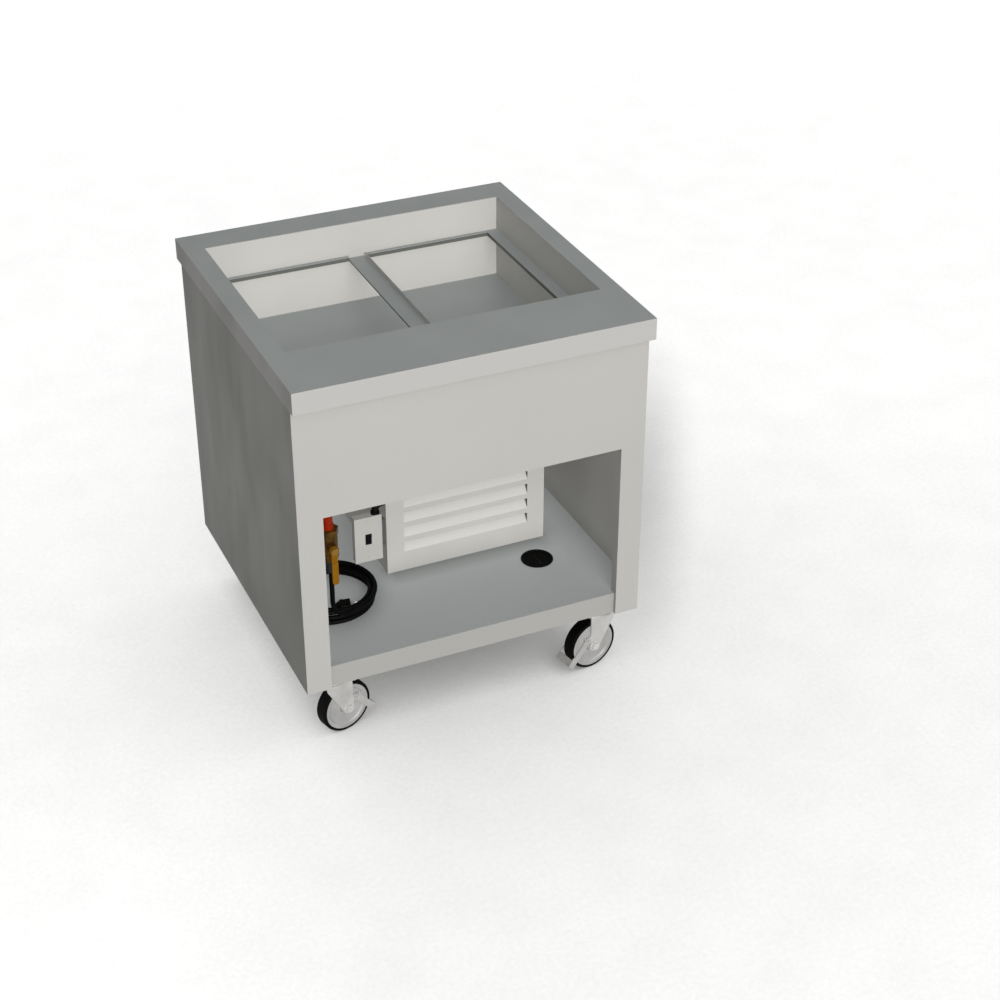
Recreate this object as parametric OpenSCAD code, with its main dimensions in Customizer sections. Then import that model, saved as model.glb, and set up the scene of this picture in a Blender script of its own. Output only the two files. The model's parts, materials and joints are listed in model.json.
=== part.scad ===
// Mobile refrigerated salad bar: a cold well in a square top, over an open cabinet on four casters.
// The origin is on the floor under the middle of the top, the front faces -Y, and sizes are in millimetres.

/* [Top] */
// Width of the top
top_w = 812.8; // [806:0.1:860]
// Depth of the top
top_d = 806; // [790:1:860]
// Height of the top above the floor
top_h = 914.4; // [900:0.1:960]
// Thickness of the top's sheet
top_sheet = 2; // [1.5:0.1:3]
// Height of the top's turned-down edge
edge_h = 50; // [40:1:60]
// How far the top reaches past each side of the cabinet
side_reach = 3.2; // [3.2:0.1:6]
// How far the top reaches past the front and the back of the cabinet
front_reach = 24; // [20:1:28]

/* [Cold well] */
// Width of the well's opening
well_w = 720; // [700:1:722]
// Depth of the well's opening, front to back
well_l = 552.5; // [540:0.5:556]
// Distance from the back edge of the top to the well
well_back = 80; // [76:1:88]
// Depth of the well below the top
well_deep = 200; // [180:1:210]
// Thickness of the liner's sheet
liner_t = 1.2; // [1:0.1:1.5]
// Width of the liner's flange under the top
liner_flange = 20; // [15:1:24]
// Depth of the pan ledge below the top
ledge_drop = 82; // [60:1:95]
// Width of the pan ledge at the sides
ledge_side = 28; // [20:1:34]
// Width of the pan ledge at the back
ledge_back = 11; // [8:1:16]
// Width of the pan ledge at the front
ledge_front = 30; // [20:1:36]
// Thickness of the ledge and of the adapter bar
ledge_t = 1.5; // [1:0.1:2]
// Height of the ledge's turned-down lip
ledge_lip = 8; // [6:1:16]
// Width of the adapter bar between the pans
bar_w = 40; // [30:1:50]
// How far the bar's face lies below the ledge
bar_low = 6; // [4:0.5:8]
// Height of the upstand on the bar's right edge
bar_up = 12; // [8:1:14]
// Height of the bar's turned-down sides
bar_side = 5; // [4:1:26]

/* [Insulation] */
// Space round the liner for the evaporator tube
coil_space = 10; // [9.8:0.1:11]
// Thickness of the foam round the walls
foam_wall = 25; // [20:1:26]
// Thickness of the foam under the floor
foam_floor = 40; // [30:1:50]
// Thickness of the casing's sheet
casing_t = 1.2; // [1:0.1:1.5]
// Diameter of the evaporator tube
tube_d = 9.5; // [6:0.1:9.5]
// Height of one evaporator loop above the next
loop_pitch = 36; // [30:1:40]
// Number of evaporator loops
loop_n = 3; // [1:2:3]

/* [Cabinet] */
// Thickness of the cabinet's sheet
sheet = 1.2; // [1:0.1:1.5]
// Width of each front stile
stile_w = 56.6; // [50:0.1:70]
// Height of the open bay above the shelf
bay_h = 388.7; // [340:0.1:400]
// Height of the shelf's front lip
lip_h = 52.4; // [46:0.1:60]
// How far the shelf's lip is set behind the front
lip_set = 10; // [6:1:14]
// Depth of the stiles' turned-back flanges
flange_d = 25; // [20:1:30]
// Diameter of the cable hole in the shelf
hole_d = 68; // [50:1:69]
// Distance of the cable hole from the cabinet's right side
hole_in = 157.6; // [157:0.1:170]
// Distance of the cable hole behind the cabinet's front
hole_y = 211; // [150:1:240]
// Width of the grommet's rim round the hole
grommet_rim = 4; // [3:0.5:5]
// Number of vent slots in each column of the back
vent_n = 9; // [4:1:10]
// Length of a vent slot
vent_l = 150; // [80:1:160]
// Height of a vent slot
vent_h = 7; // [5:0.5:9]
// Height of the back panel's lowest screws above the panel's lower edge
screw_low = 90; // [60:1:110]
// Distance from one of these screws to the next
screw_step = 160; // [120:1:170]

/* [Base] */
// Width of a base rail
rail_w = 90; // [90:1:91]
// Thickness of a base rail
rail_t = 3; // [2:0.1:3]
// Distance of a front caster from the cabinet's side
caster_in_x = 72.2; // [70:0.1:73]
// How much further in the back casters stand
back_in = 5; // [0:0.5:5]
// Distance of a caster from the cabinet's front or back
caster_in_y = 48; // [47:1:60]

/* [Casters] */
// Diameter of a wheel
wheel_d = 127; // [110:1:140]
// Width of a wheel's tread
tread_w = 32; // [28:1:34]
// Thickness of the tread
tread_t = 7.5; // [6:0.5:10]
// Distance of the axle from the swivel's axis
trail = 28; // [20:1:32]
// Diameter of the axle
axle_d = 12; // [10:0.5:14]
// Space between a wheel's top and the fork's crown
crown_gap = 13.3; // [12:0.1:16]
// Thickness of the fork's crown
crown_t = 5; // [4:0.1:6]
// Thickness of a fork's leg
leg_t = 3; // [2.5:0.1:4]
// Height of the fixed swivel race
race_h = 6; // [6:0.1:8]
// Thickness of the top plate
plate_t = 4; // [3:0.1:5]
// Length of the top plate, along the front
plate_l = 90; // [86:1:90]
// Width of the top plate
plate_w = 68; // [66:1:72]
// Diameter of the caster bolts
bolt_d = 8; // [6:0.5:8]

/* [Cooling unit] */
// Width of the unit's housing
unit_w = 400; // [380:1:410]
// Height of the unit's housing
unit_h = 320; // [310:1:340]
// Depth of the unit's housing
unit_d = 335; // [325:1:350]
// Distance of the housing's left side from the middle, to the left
unit_left = 98.4; // [96:0.1:104]
// Distance of the housing's front behind the cabinet's front
unit_set = 295.5; // [290:0.5:305]
// Width of the louvred field
louver_w = 314; // [280:1:320]
// Distance from one louver to the next
louver_pitch = 40; // [34:1:42]
// Number of louvers
louver_n = 6; // [3:1:6]
// Depth of a louver's slope
louver_slope = 17; // [12:1:20]
// Distance of the fan behind the housing's front
fan_set = 84; // [82:1:88]
// Height of the fan's middle above the shelf
fan_up = 152; // [148:1:156]
// Length of the fan's hub
hub_l = 20; // [16:1:22]
// Width of a fan blade, before it is tilted
blade_w = 64; // [56:1:68]
// Distance of the motor's bracket behind the motor's front
bracket_set = 20; // [16:1:30]
// Diameter of the fan
fan_d = 200; // [160:1:210]
// Number of fan blades
fan_n = 5; // [3:1:6]
// Diameter of the compressor
comp_d = 150; // [120:1:154]
// Height of the compressor
comp_h = 175; // [150:1:190]
// Distance of the compressor's middle behind the housing's front
comp_set = 243; // [236:1:250]
// Rounding of the compressor's dome
dome_r = 30; // [20:1:40]
// Diameter of the compressor's feet
foot_d = 20; // [16:1:24]
// Length of the fan's motor
motor_l = 50; // [40:1:54]
// Distance from the fan's front to its motor
motor_gap = 29; // [27:1:32]
// Depth of the ring round the fan
throat_l = 24; // [18:1:26]

/* [Switch] */
// Width of the switch's cover plate
cover_w = 67; // [60:1:70]
// Height of the switch's cover plate
cover_h = 119; // [105:1:122]
// Depth of the switch box
box_d = 20; // [16:1:30]
// Space between the switch box and the housing
box_gap = 15; // [12:1:24]
// Height of the switch box above the shelf
box_up = 56; // [50:1:70]

/* [Drain] */
// Diameter of the drain pipe
pipe_d = 22.2; // [20:0.1:24]
// Wall of the drain pipe
pipe_wall = 1.5; // [1:0.1:2]
// Distance of the pipe from the middle, to the left
pipe_x = 308; // [300:1:316]
// Distance of the pipe's drop behind the cabinet's front
pipe_y = 89; // [85:1:110]
// Distance of the drain behind the cabinet's front
drain_y = 229; // [215:1:260]
// Length of the pipe's drop to the valve
pipe_drop = 109; // [80:1:120]
// Length of the valve's body
valve_l = 74; // [66:1:84]
// Length of the lever below the valve's stem
lever_l = 79; // [60:1:90]
// Width of the lever
lever_w = 14; // [12:1:20]
// Distance of the lever in front of the valve's body
lever_out = 17; // [14:1:26]

/* [Power cord] */
// Diameter of the cord
cord_d = 11; // [11:0.5:11.5]
// Distance of the coil's middle from the middle of the top, to the left
coil_x = 260; // [255:1:262]
// Distance of the coil's middle behind the cabinet's front
coil_y = 259; // [255:1:262]
// Outermost radius of the coil's path
coil_r = 110; // [105:1:111]

/* [Hidden] */
$fn = 48;

gap = 0.3;        // between pieces that move past each other
run = 0.05;       // running fit, on the radius
far = 1000;       // length of a cut that goes right through

// cabinet
body_w = top_w - 2 * side_reach;
body_d = top_d - 2 * front_reach;
front = -body_d / 2;
back = body_d / 2;
under_top = top_h - top_sheet;
crown_z = wheel_d + crown_gap;
race_z = crown_z + crown_t + gap;
plate_z = race_z + race_h;
base_z = plate_z + plate_t;
shelf_z = base_z + lip_h;
bay_top = shelf_z + bay_h;
bay_w = body_w - 2 * stile_w;
hole_x = body_w / 2 - hole_in;

// well
well_x = well_w / 2;
well_y1 = top_d / 2 - well_back;
well_y0 = well_y1 - well_l;
floor_z = top_h - well_deep;
tube_off = liner_t + coil_space / 2;       // from the liner's inner face to the tube's middle
foam_in = liner_t + coil_space;
foam_out = foam_in + foam_wall;
foam_z = floor_z - liner_t - foam_floor;
casing_z = foam_z - casing_t;
ledge_z = top_h - ledge_drop;
bar_z = ledge_z - bar_low;
line_xs = [-50, 150];                      // where the evaporator's two ends come down
loop_z = floor_z + 30;
tube_y = well_y0 - tube_off;
tube_end = casing_z - 12;
bend_r = 20;

// drain
pipe_in = pipe_d - 2 * pipe_wall;
drain_at = [-pipe_x, front + drain_y];
drop_at = [-pipe_x, front + pipe_y];
fitting_d = pipe_d + 17.4;
fitting_end = casing_z - 12;
run_z = casing_z - 52;
elbow_r = 30;
valve_top = run_z - pipe_drop;
valve_mid = valve_top - valve_l / 2;
valve_d = pipe_d + 17.8;
ball_r = pipe_d / 2 + 5.6;
stem_d = 10;
lever_t = 3;
lever_at = drop_at[1] - valve_d / 2 - lever_out;  // front face of the lever's plate

// cooling unit
unit_x0 = -unit_left;
unit_x1 = unit_x0 + unit_w;
unit_y0 = front + unit_set;
unit_y1 = unit_y0 + unit_d;
unit_z1 = shelf_z + unit_h;
base_t = 2;
louver_x = unit_x0 + unit_w / 2;
louver_z = shelf_z + 50;
fan_at = [louver_x, unit_y0 + fan_set, shelf_z + fan_up];
coil_box = [fan_d + 80, 36, 270];          // width, depth and height of the condenser
coil_y0 = unit_y0 + 28;
shroud_y = coil_y0 + coil_box[1];
comp_at = [line_xs[1], unit_y0 + comp_set];
drier_at = [line_xs[0], comp_at[1]];
drier_d = 42;
drier_h = 150;
line_z = casing_z - 46;

// switch
cover_t = 2;
box_x1 = unit_x0 - box_gap;
box_x0 = box_x1 - cover_w;
box_z0 = shelf_z + box_up;
box_y0 = unit_y0 - 10;
elbow_d = 16;
elbow_x = box_x1 - 11;
elbow_turn = 16;

// casters
caster_x = body_w / 2 - caster_in_x;
caster_y = body_d / 2 - caster_in_y;
axle_z = wheel_d / 2;
core_d = wheel_d - 2 * tread_t;
leg_in = tread_w / 2 + 3;
king_d = 14;
rail_x = caster_x - back_in / 2;
hole_l = plate_l - 28;                     // bolt holes, along X and Y
hole_w = plate_w - 20;
pedal_pin = 0.35 * axle_z;                 // from the axle to the pedal's pin, along and up
pedal_reach = 0.9 * axle_z;                // from the pin to the foot plate, just outside the tread
pedal_tilt = 50;
fork_spin = [16, 191, -78, 200];           // headings at rest: front left, front right, back left, back right

// power cord: the coil winds inwards on its top layer, out again on the middle one and inwards on the
// lowest one, from which the end curls in to the plug, inside the ring
cord_pitch = cord_d + 0.5;
cord_start = -72;                          // degrees, where the lead joins the coil
cord_flip = 450;                           // degrees wound on each of the two upper layers
cord_low = 1260;                           // where the end leaves the lowest layer
cord_turn = 1408;
coil_in = 56;                              // radius at which the curl ends
coil_steps = 94;
end_straight = 12;
tail = 4;                                  // straight stretch to the plug
join = 0.02;                               // between the cord's stretches, end to end
coil_top = shelf_z + cord_d / 2 + 2 * cord_pitch;
// the lead's drop: distance back from the coil's start, and height above the coil's upper layer
lead_drop = [
    [0, 0], [10, 0], [24, 3], [36, 10], [46, 21], [53, 34], [56, 50], [56, 75],
    [56, 100], [56, 130], [56, 160], [56, 190],
];
// its upper end, clear of the drain pipe: shift to the right, and depth below the gland
lead_rise = [[0, 160], [0, 135], [3, 115], [9, 90], [16, 65], [20, 45], [21, 25], [21, 12], [21, 0]];
lead_top = casing_z - 32;
plug_l = 42;
plug_w = 34;
plug_t = 24;

function turn(p, a) = [p[0] * cos(a) - p[1] * sin(a), p[0] * sin(a) + p[1] * cos(a)];

// a box between two corners
module block(lo, hi) {
    translate(lo) cube(hi - lo);
}

module rod_x(p, len, d) {
    translate(p) rotate([0, 90, 0]) cylinder(h = len, d = d);
}

module rod_y(p, len, d) {
    translate(p) rotate([-90, 0, 0]) cylinder(h = len, d = d);
}

module rod_z(p, len, d) {
    translate(p) cylinder(h = len, d = d);
}

// a quarter of a ring, from [r, 0] to [0, r]
module quarter(r, d) {
    rotate_extrude(angle = 90) translate([r, 0]) circle(d = d);
}

// the same quarter turned into the YZ plane, then by a about X
module quarter_yz(p, a, r, d) {
    translate(p) rotate([90, 0, 90]) rotate([0, 0, a]) quarter(r, d);
}

// a hexagon across its flats, as a bar along Z
module hex_z(p, len, flats) {
    translate(p) cylinder(h = len, d = flats / cos(30), $fn = 6);
}

// the four casters: index, and corner signs in x and y
corners = [[-1, -1], [1, -1], [-1, 1], [1, 1]];

module at_caster(i) {
    inset = i > 1 ? back_in : 0;
    translate([corners[i][0] * (caster_x - inset), corners[i][1] * caster_y, 0]) children();
}

// ---- top and well ----

module countertop() color([0.55, 0.57, 0.56]) {
    difference() {
        block([-top_w / 2, -top_d / 2, top_h - edge_h], [top_w / 2, top_d / 2, top_h]);
        block([-top_w / 2 + top_sheet, -top_d / 2 + top_sheet, top_h - edge_h - 1],
              [top_w / 2 - top_sheet, top_d / 2 - top_sheet, under_top]);
        block([-well_x, well_y0, under_top - 1], [well_x, well_y1, top_h + 1]);
    }
    // hems turned in under the front and back edges
    for (s = [-1, 1])
        translate([-top_w / 2 + top_sheet, s > 0 ? back + top_sheet : -top_d / 2 + top_sheet,
            top_h - edge_h])
            cube([top_w - 2 * top_sheet, front_reach - 2 * top_sheet, top_sheet]);
}

module well_liner() color([0.75, 0.75, 0.73]) {
    difference() {
        union() {
            block([-well_x - liner_t, well_y0 - liner_t, floor_z - liner_t],
                  [well_x + liner_t, well_y1 + liner_t, under_top]);
            block([-well_x - liner_flange, well_y0 - liner_flange, under_top - liner_t],
                  [well_x + liner_flange, well_y1 + liner_flange, under_top]);
        }
        block([-well_x, well_y0, floor_z], [well_x, well_y1, top_h]);
        rod_z([drain_at[0], drain_at[1], floor_z - far / 2], far, fitting_d + 2 * run);
    }
}

module well_insulation() color([0.93, 0.87, 0.68]) {
    difference() {
        block([-well_x - foam_out, well_y0 - foam_out, foam_z],
              [well_x + foam_out, well_y1 + foam_out, under_top - liner_t]);
        block([-well_x - foam_in, well_y0 - foam_in, floor_z - liner_t],
              [well_x + foam_in, well_y1 + foam_in, top_h]);
        rod_z([drain_at[0], drain_at[1], foam_z - 1], foam_floor + 2, fitting_d + 4);
        for (x = line_xs)
            rod_z([x, tube_y, foam_z - 1], foam_floor + 2, tube_d + 1);
    }
}

module well_casing() color([0.66, 0.67, 0.66]) {
    difference() {
        block([-well_x - foam_out - casing_t, well_y0 - foam_out - casing_t, casing_z],
              [well_x + foam_out + casing_t, well_y1 + foam_out + casing_t, under_top]);
        block([-well_x - foam_out, well_y0 - foam_out, foam_z],
              [well_x + foam_out, well_y1 + foam_out, top_h]);
        rod_z([drain_at[0], drain_at[1], casing_z - 1], casing_t + 2, fitting_d + 1);
        for (x = line_xs)
            rod_z([x, tube_y, casing_z - 1], casing_t + 2, tube_d + 1);
    }
}

// one level round the liner, open at the front between the two ends
module evaporator_loop(z) {
    // the bends turn round the liner's corners
    r = coil_space / 2;
    x = well_x + tube_off - r;
    y0 = tube_y + r;
    y1 = well_y1 + tube_off - r;
    rod_x([-x, tube_y, z], line_xs[0] + x, tube_d);
    rod_x([line_xs[1], tube_y, z], x - line_xs[1], tube_d);
    rod_x([-x, y1 + r, z], 2 * x, tube_d);
    for (s = [-1, 1])
        rod_y([s * (x + r), y0, z], y1 - y0, tube_d);
    translate([x, y1, z]) quarter(r, tube_d);
    translate([-x, y1, z]) rotate(90) quarter(r, tube_d);
    translate([-x, y0, z]) rotate(180) quarter(r, tube_d);
    translate([x, y0, z]) rotate(270) quarter(r, tube_d);
}

module evaporator_coil() color([0.72, 0.45, 0.2]) {
    r = loop_pitch / 2;
    for (i = [0 : loop_n - 1])
        evaporator_loop(loop_z + i * loop_pitch);
    // U-bends that join one level to the next, right and left in turn
    for (i = [0 : 1 : loop_n - 2])
        translate([line_xs[i % 2 == 0 ? 1 : 0], tube_y, loop_z + (i + 0.5) * loop_pitch])
            rotate([90, 0, i % 2 == 0 ? 0 : 180]) rotate(90)
                rotate_extrude(angle = 180) translate([r, 0]) circle(d = tube_d);
    // the ends turn down through the foam
    translate([line_xs[0], tube_y, loop_z]) sphere(d = tube_d);
    rod_z([line_xs[0], tube_y, tube_end], loop_z - tube_end, tube_d);
    end_z = loop_z + (loop_n - 1) * loop_pitch;
    turn_z = floor_z + 6;
    translate([line_xs[1] - 2 * r, tube_y, end_z]) sphere(d = tube_d);
    rod_x([line_xs[1] - 2 * r, tube_y, end_z], 2 * r, tube_d);
    rod_z([line_xs[1] - 2 * r, tube_y, turn_z], end_z - turn_z, tube_d);
    translate([line_xs[1] - 2 * r, tube_y, turn_z]) sphere(d = tube_d);
    rod_x([line_xs[1] - 2 * r, tube_y, turn_z], 2 * r, tube_d);
    translate([line_xs[1], tube_y, turn_z]) sphere(d = tube_d);
    rod_z([line_xs[1], tube_y, tube_end], turn_z - tube_end, tube_d);
}

// a frame round each pan opening; only its lip runs on below the bar's ends
module pan_ledges() color([0.6, 0.61, 0.6]) {
    in_x = well_x - ledge_side;
    in_y0 = well_y0 + ledge_front;
    in_y1 = well_y1 - ledge_back;
    half = bar_w / 2 + gap;
    lip_z = ledge_z - ledge_t - ledge_lip;
    difference() {
        block([-well_x, well_y0, lip_z], [well_x, well_y1, ledge_z]);
        block([-in_x, in_y0, lip_z - 1], [in_x, in_y1, ledge_z + 1]);
        // hollow behind the lip
        difference() {
            block([-well_x - 1, well_y0 - 1, lip_z - 1], [well_x + 1, well_y1 + 1, ledge_z - ledge_t]);
            block([-in_x - ledge_t, in_y0 - ledge_t, lip_z - 2],
                  [in_x + ledge_t, in_y1 + ledge_t, ledge_z]);
        }
        // notches for the bar
        block([-half, well_y0 - 1, bar_z - ledge_t - gap], [half, well_y1 + 1, ledge_z + 1]);
    }
}

module adapter_bar() color([0.58, 0.59, 0.58]) {
    in_y0 = well_y0 + ledge_front;
    in_y1 = well_y1 - ledge_back;
    y0 = in_y0 + gap;
    y1 = in_y1 - gap;
    block([-bar_w / 2, well_y0 + gap, bar_z - ledge_t], [bar_w / 2, well_y1 - gap, bar_z]);
    for (x = [-bar_w / 2, bar_w / 2 - ledge_t])
        block([x, y0, bar_z - bar_side], [x + ledge_t, y1, bar_z]);
    block([bar_w / 2 - ledge_t, y0, bar_z], [bar_w / 2, y1, bar_z + bar_up]);
}

// ---- drain ----

module drain_fitting() color([0.75, 0.6, 0.28]) {
    translate([drain_at[0], drain_at[1], 0]) difference() {
        union() {
            cylinder_between(floor_z, floor_z + 2, fitting_d + 20);
            cylinder_between(fitting_end, floor_z + 1, fitting_d);
            cylinder_between(casing_z - 8, casing_z, fitting_d + 16);
        }
        cylinder_between(fitting_end + 4, floor_z + 3, fitting_d - 7);
        cylinder_between(fitting_end - 1, floor_z, pipe_in);
    }
}

module cylinder_between(z0, z1, d) {
    translate([0, 0, z0]) cylinder(h = z1 - z0, d = d);
}

module drain_strainer() color([0.8, 0.8, 0.8]) {
    d = fitting_d + 14;
    skirt_d = fitting_d - 7 - 2 * gap;
    translate([drain_at[0], drain_at[1], floor_z + 2 + gap]) difference() {
        union() {
            cylinder(h = 1.5, d = d);
            translate([0, 0, -12]) cylinder(h = 12.5, d = skirt_d);
        }
        translate([0, 0, -13]) cylinder(h = 13, d = skirt_d - 3);
        for (i = [0 : 5])
            rotate(60 * i) translate([skirt_d / 4, 0, -1]) cylinder(h = 4, d = 4);
    }
}

module drain_pipe() color([0.75, 0.13, 0.06]) {
    difference() {
        drain_run(pipe_d);
        drain_run(pipe_in);
    }
    // collars at the joints
    difference() {
        union() {
            rod_z([drain_at[0], drain_at[1], fitting_end - 14], 14, pipe_d + 7);
            rod_z([drop_at[0], drop_at[1], valve_top], 12, pipe_d + 3);
        }
        rod_z([drain_at[0], drain_at[1], fitting_end - 15], 16, pipe_d - 1);
        rod_z([drop_at[0], drop_at[1], valve_top - 1], 14, pipe_d - 1);
    }
}

// down from the drain, forward below the casing and down again to the valve
module drain_run(d) {
    rod_z([drain_at[0], drain_at[1], run_z + elbow_r], fitting_end - run_z - elbow_r, d);
    quarter_yz([drain_at[0], drain_at[1] - elbow_r, run_z + elbow_r], -90, elbow_r, d);
    rod_y([drop_at[0], drop_at[1] + elbow_r, run_z], drain_at[1] - drop_at[1] - 2 * elbow_r, d);
    quarter_yz([drop_at[0], drop_at[1] + elbow_r, run_z - elbow_r], 90, elbow_r, d);
    rod_z([drop_at[0], drop_at[1], valve_top], run_z - elbow_r - valve_top, d);
}

module valve_body() color([0.55, 0.4, 0.12]) {
    nut = 16;
    z0 = valve_top - valve_l;
    difference() {
        union() {
            rod_z([drop_at[0], drop_at[1], z0 + nut - 1], valve_l - 2 * nut + 2, valve_d);
            hex_z([drop_at[0], drop_at[1], z0], nut, valve_d);
            hex_z([drop_at[0], drop_at[1], valve_top - nut], nut, valve_d);
            rod_y([drop_at[0], lever_at + lever_t + gap, valve_mid], drop_at[1] - lever_at - lever_t - gap,
                  stem_d + 12);
        }
        rod_z([drop_at[0], drop_at[1], z0 - 1], valve_l + 2, pipe_in);
        translate([drop_at[0], drop_at[1], valve_mid]) sphere(r = ball_r + gap);
        rod_y([drop_at[0], drop_at[1] - far, valve_mid], far, stem_d + 2 * run);
    }
}

module valve_ball() color([0.82, 0.8, 0.72]) {
    translate([drop_at[0], drop_at[1], valve_mid]) difference() {
        union() {
            sphere(r = ball_r);
            rod_y([0, lever_at - 4 - drop_at[1], 0], drop_at[1] - lever_at + 4, stem_d);
            // nut that holds the lever, in front of it
            translate([0, lever_at - gap - drop_at[1], 0]) rotate([90, 0, 0]) hex_z([0, 0, 0], 5, 15);
        }
        cylinder(h = far, d = pipe_in - 1, center = true);
    }
}

module valve_lever() color([0.75, 0.5, 0.06]) {
    translate([drop_at[0], lever_at, valve_mid]) difference() {
        union() {
            rod_y([0, 0, 0], lever_t, lever_w + 5);
            block([-lever_w / 2, 0, -lever_l], [lever_w / 2, lever_t, 0]);
            // the grip's sleeve, thicker than the plate
            block([-lever_w / 2, -1.5, -lever_l], [lever_w / 2, lever_t + 1, -30]);
            rod_y([0, -1.5, -lever_l], lever_t + 2.5, lever_w);
        }
        rod_y([0, -far / 2, 0], far, stem_d + 2 * run);
    }
}

module drain_spout() color([0.06, 0.06, 0.06]) {
    z0 = valve_top - valve_l;
    translate([drop_at[0], drop_at[1], 0]) difference() {
        union() {
            cylinder_between(z0 - 8, z0, pipe_d + 8.4);
            cylinder_between(z0 - 34, z0 - 7, pipe_d + 1.4);
            for (i = [0 : 2])
                cylinder_between(z0 - 32 + 8 * i, z0 - 28 + 8 * i, pipe_d + 3.4);
        }
        cylinder_between(z0 - 35, z0 + 1, pipe_in - 1.6);
    }
}

// ---- cabinet ----

module front_frame() color([0.76, 0.75, 0.74]) {
    difference() {
        block([-body_w / 2, front, base_z], [body_w / 2, front + sheet, under_top]);
        block([-bay_w / 2, front - 1, base_z - 1], [bay_w / 2, front + sheet + 1, bay_top]);
    }
    // flanges turned back round the opening
    for (s = [-1, 1])
        translate([s > 0 ? bay_w / 2 : -bay_w / 2 - sheet, front + sheet / 2, 0]) {
            translate([0, 0, base_z]) cube([sheet, lip_set, lip_h + sheet]);
            translate([0, 0, shelf_z - sheet]) cube([sheet, flange_d - sheet / 2, bay_h + 2 * sheet]);
        }
    block([-bay_w / 2 - sheet / 2, front + sheet / 2, bay_top],
        [bay_w / 2 + sheet / 2, front + flange_d, bay_top + sheet]);
}

module side_panel(s) {
    x = s * body_w / 2;
    color([0.42, 0.42, 0.4])
        block([min(x, x - s * sheet), front + sheet, base_z],
            [max(x, x - s * sheet), back - sheet, under_top]);
}

module left_panel() side_panel(-1);

module right_panel() side_panel(1);

// centre of the vent columns, behind the cooling unit
vent_xs = [louver_x - vent_l / 2 - 12, louver_x + vent_l / 2 + 12];
vent_z = shelf_z + 60;
vent_pitch = 24;

module back_panel() color([0.7, 0.7, 0.69]) {
    difference() {
        block([-body_w / 2, back - sheet, base_z], [body_w / 2, back, under_top]);
        for (x = vent_xs, i = [0 : vent_n - 1])
            block([x - vent_l / 2, back - sheet - 1, vent_z + vent_pitch * i],
                  [x + vent_l / 2, back + 1, vent_z + vent_pitch * i + vent_h]);
        for (p = screw_at)
            rod_y([p[0], back - sheet - 1, p[1]], sheet + 2, 5);
    }
}

// screws of the back panel, as x and z
screw_at = [
    for (s = [-1, 1], i = [0 : 3])
        [s * (body_w / 2 - 14), base_z + screw_low + i * screw_step]
];

module panel_screws() color([0.8, 0.8, 0.8]) {
    for (p = screw_at) {
        rod_y([p[0], back, p[1]], 2, 9);
        rod_y([p[0], back - 12, p[1]], 13, 4.8);
    }
}

module bottom_shelf() color([0.57, 0.58, 0.58]) {
    half = body_w / 2 - sheet;
    lip_y = front + lip_set;
    difference() {
        union() {
            block([-half, front + flange_d, shelf_z - sheet], [half, back - sheet, shelf_z]);
            block([-bay_w / 2, lip_y, shelf_z - sheet], [bay_w / 2, front + flange_d + 1, shelf_z]);
        }
        rod_z([hole_x, front + hole_y, shelf_z - 10], 20, hole_d);
    }
    block([-bay_w / 2, lip_y, base_z], [bay_w / 2, lip_y + sheet, shelf_z]);
    // turned in at the bottom, between the rails
    turn_x = rail_x - rail_w / 2 - 1;
    block([-turn_x, lip_y, base_z], [turn_x, lip_y + 12, base_z + sheet]);
}

module shelf_grommet() color([0.03, 0.03, 0.03]) {
    neck_d = hole_d - 2 * run;
    translate([hole_x, front + hole_y, shelf_z]) difference() {
        union() {
            cylinder(h = 2, d = hole_d + 2 * grommet_rim);
            translate([0, 0, -4 - sheet]) cylinder(h = 5 + sheet, d = neck_d);
            translate([0, 0, -4 - sheet]) cylinder(h = 4, d = hole_d + grommet_rim);
        }
        translate([0, 0, 0.5]) cylinder(h = 3, d = neck_d - 8);
        translate([0, 0, -5 - sheet]) cylinder(h = 4 + sheet, d = neck_d - 8);
        // slits in the thin middle
        for (a = [0, 90])
            rotate(a) block([-hole_d / 2 + 8, -0.5, -9], [hole_d / 2 - 8, 0.5, 3]);
    }
}

module base_rails() color([0.5, 0.5, 0.5]) {
    y0 = front + lip_set + sheet + 1;
    y1 = back - sheet - 6;
    difference() {
        for (s = [-1, 1])
            translate([s * rail_x, 0, 0]) difference() {
                block([-rail_w / 2, y0, base_z], [rail_w / 2, y1, shelf_z - sheet]);
                block([-rail_w / 2 + rail_t, y0 - 1, base_z + rail_t],
                    [rail_w / 2 - rail_t, y1 + 1, shelf_z]);
            }
        for (i = [0 : 3], s = [-1, 1], t = [-1, 1])
            at_caster(i) rod_z([s * hole_l / 2, t * hole_w / 2, base_z - 1], rail_t + 2, bolt_d + 0.5);
    }
}

// ---- cooling unit ----

module condenser_housing() color([0.74, 0.74, 0.72]) {
    difference() {
        block([unit_x0, unit_y0 + sheet, shelf_z], [unit_x1, unit_y1, unit_z1]);
        block([unit_x0 + sheet, unit_y0, shelf_z - 1], [unit_x1 - sheet, unit_y1 + 1, unit_z1 - sheet]);
        for (p = [comp_at, drier_at])
            rod_z([p[0], p[1], unit_z1 - 5], 10, tube_d + 3);
        rod_x([unit_x0 - 1, elbow_y + elbow_back, conduit_z], sheet + 2, elbow_d - 5);
    }
}

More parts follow.
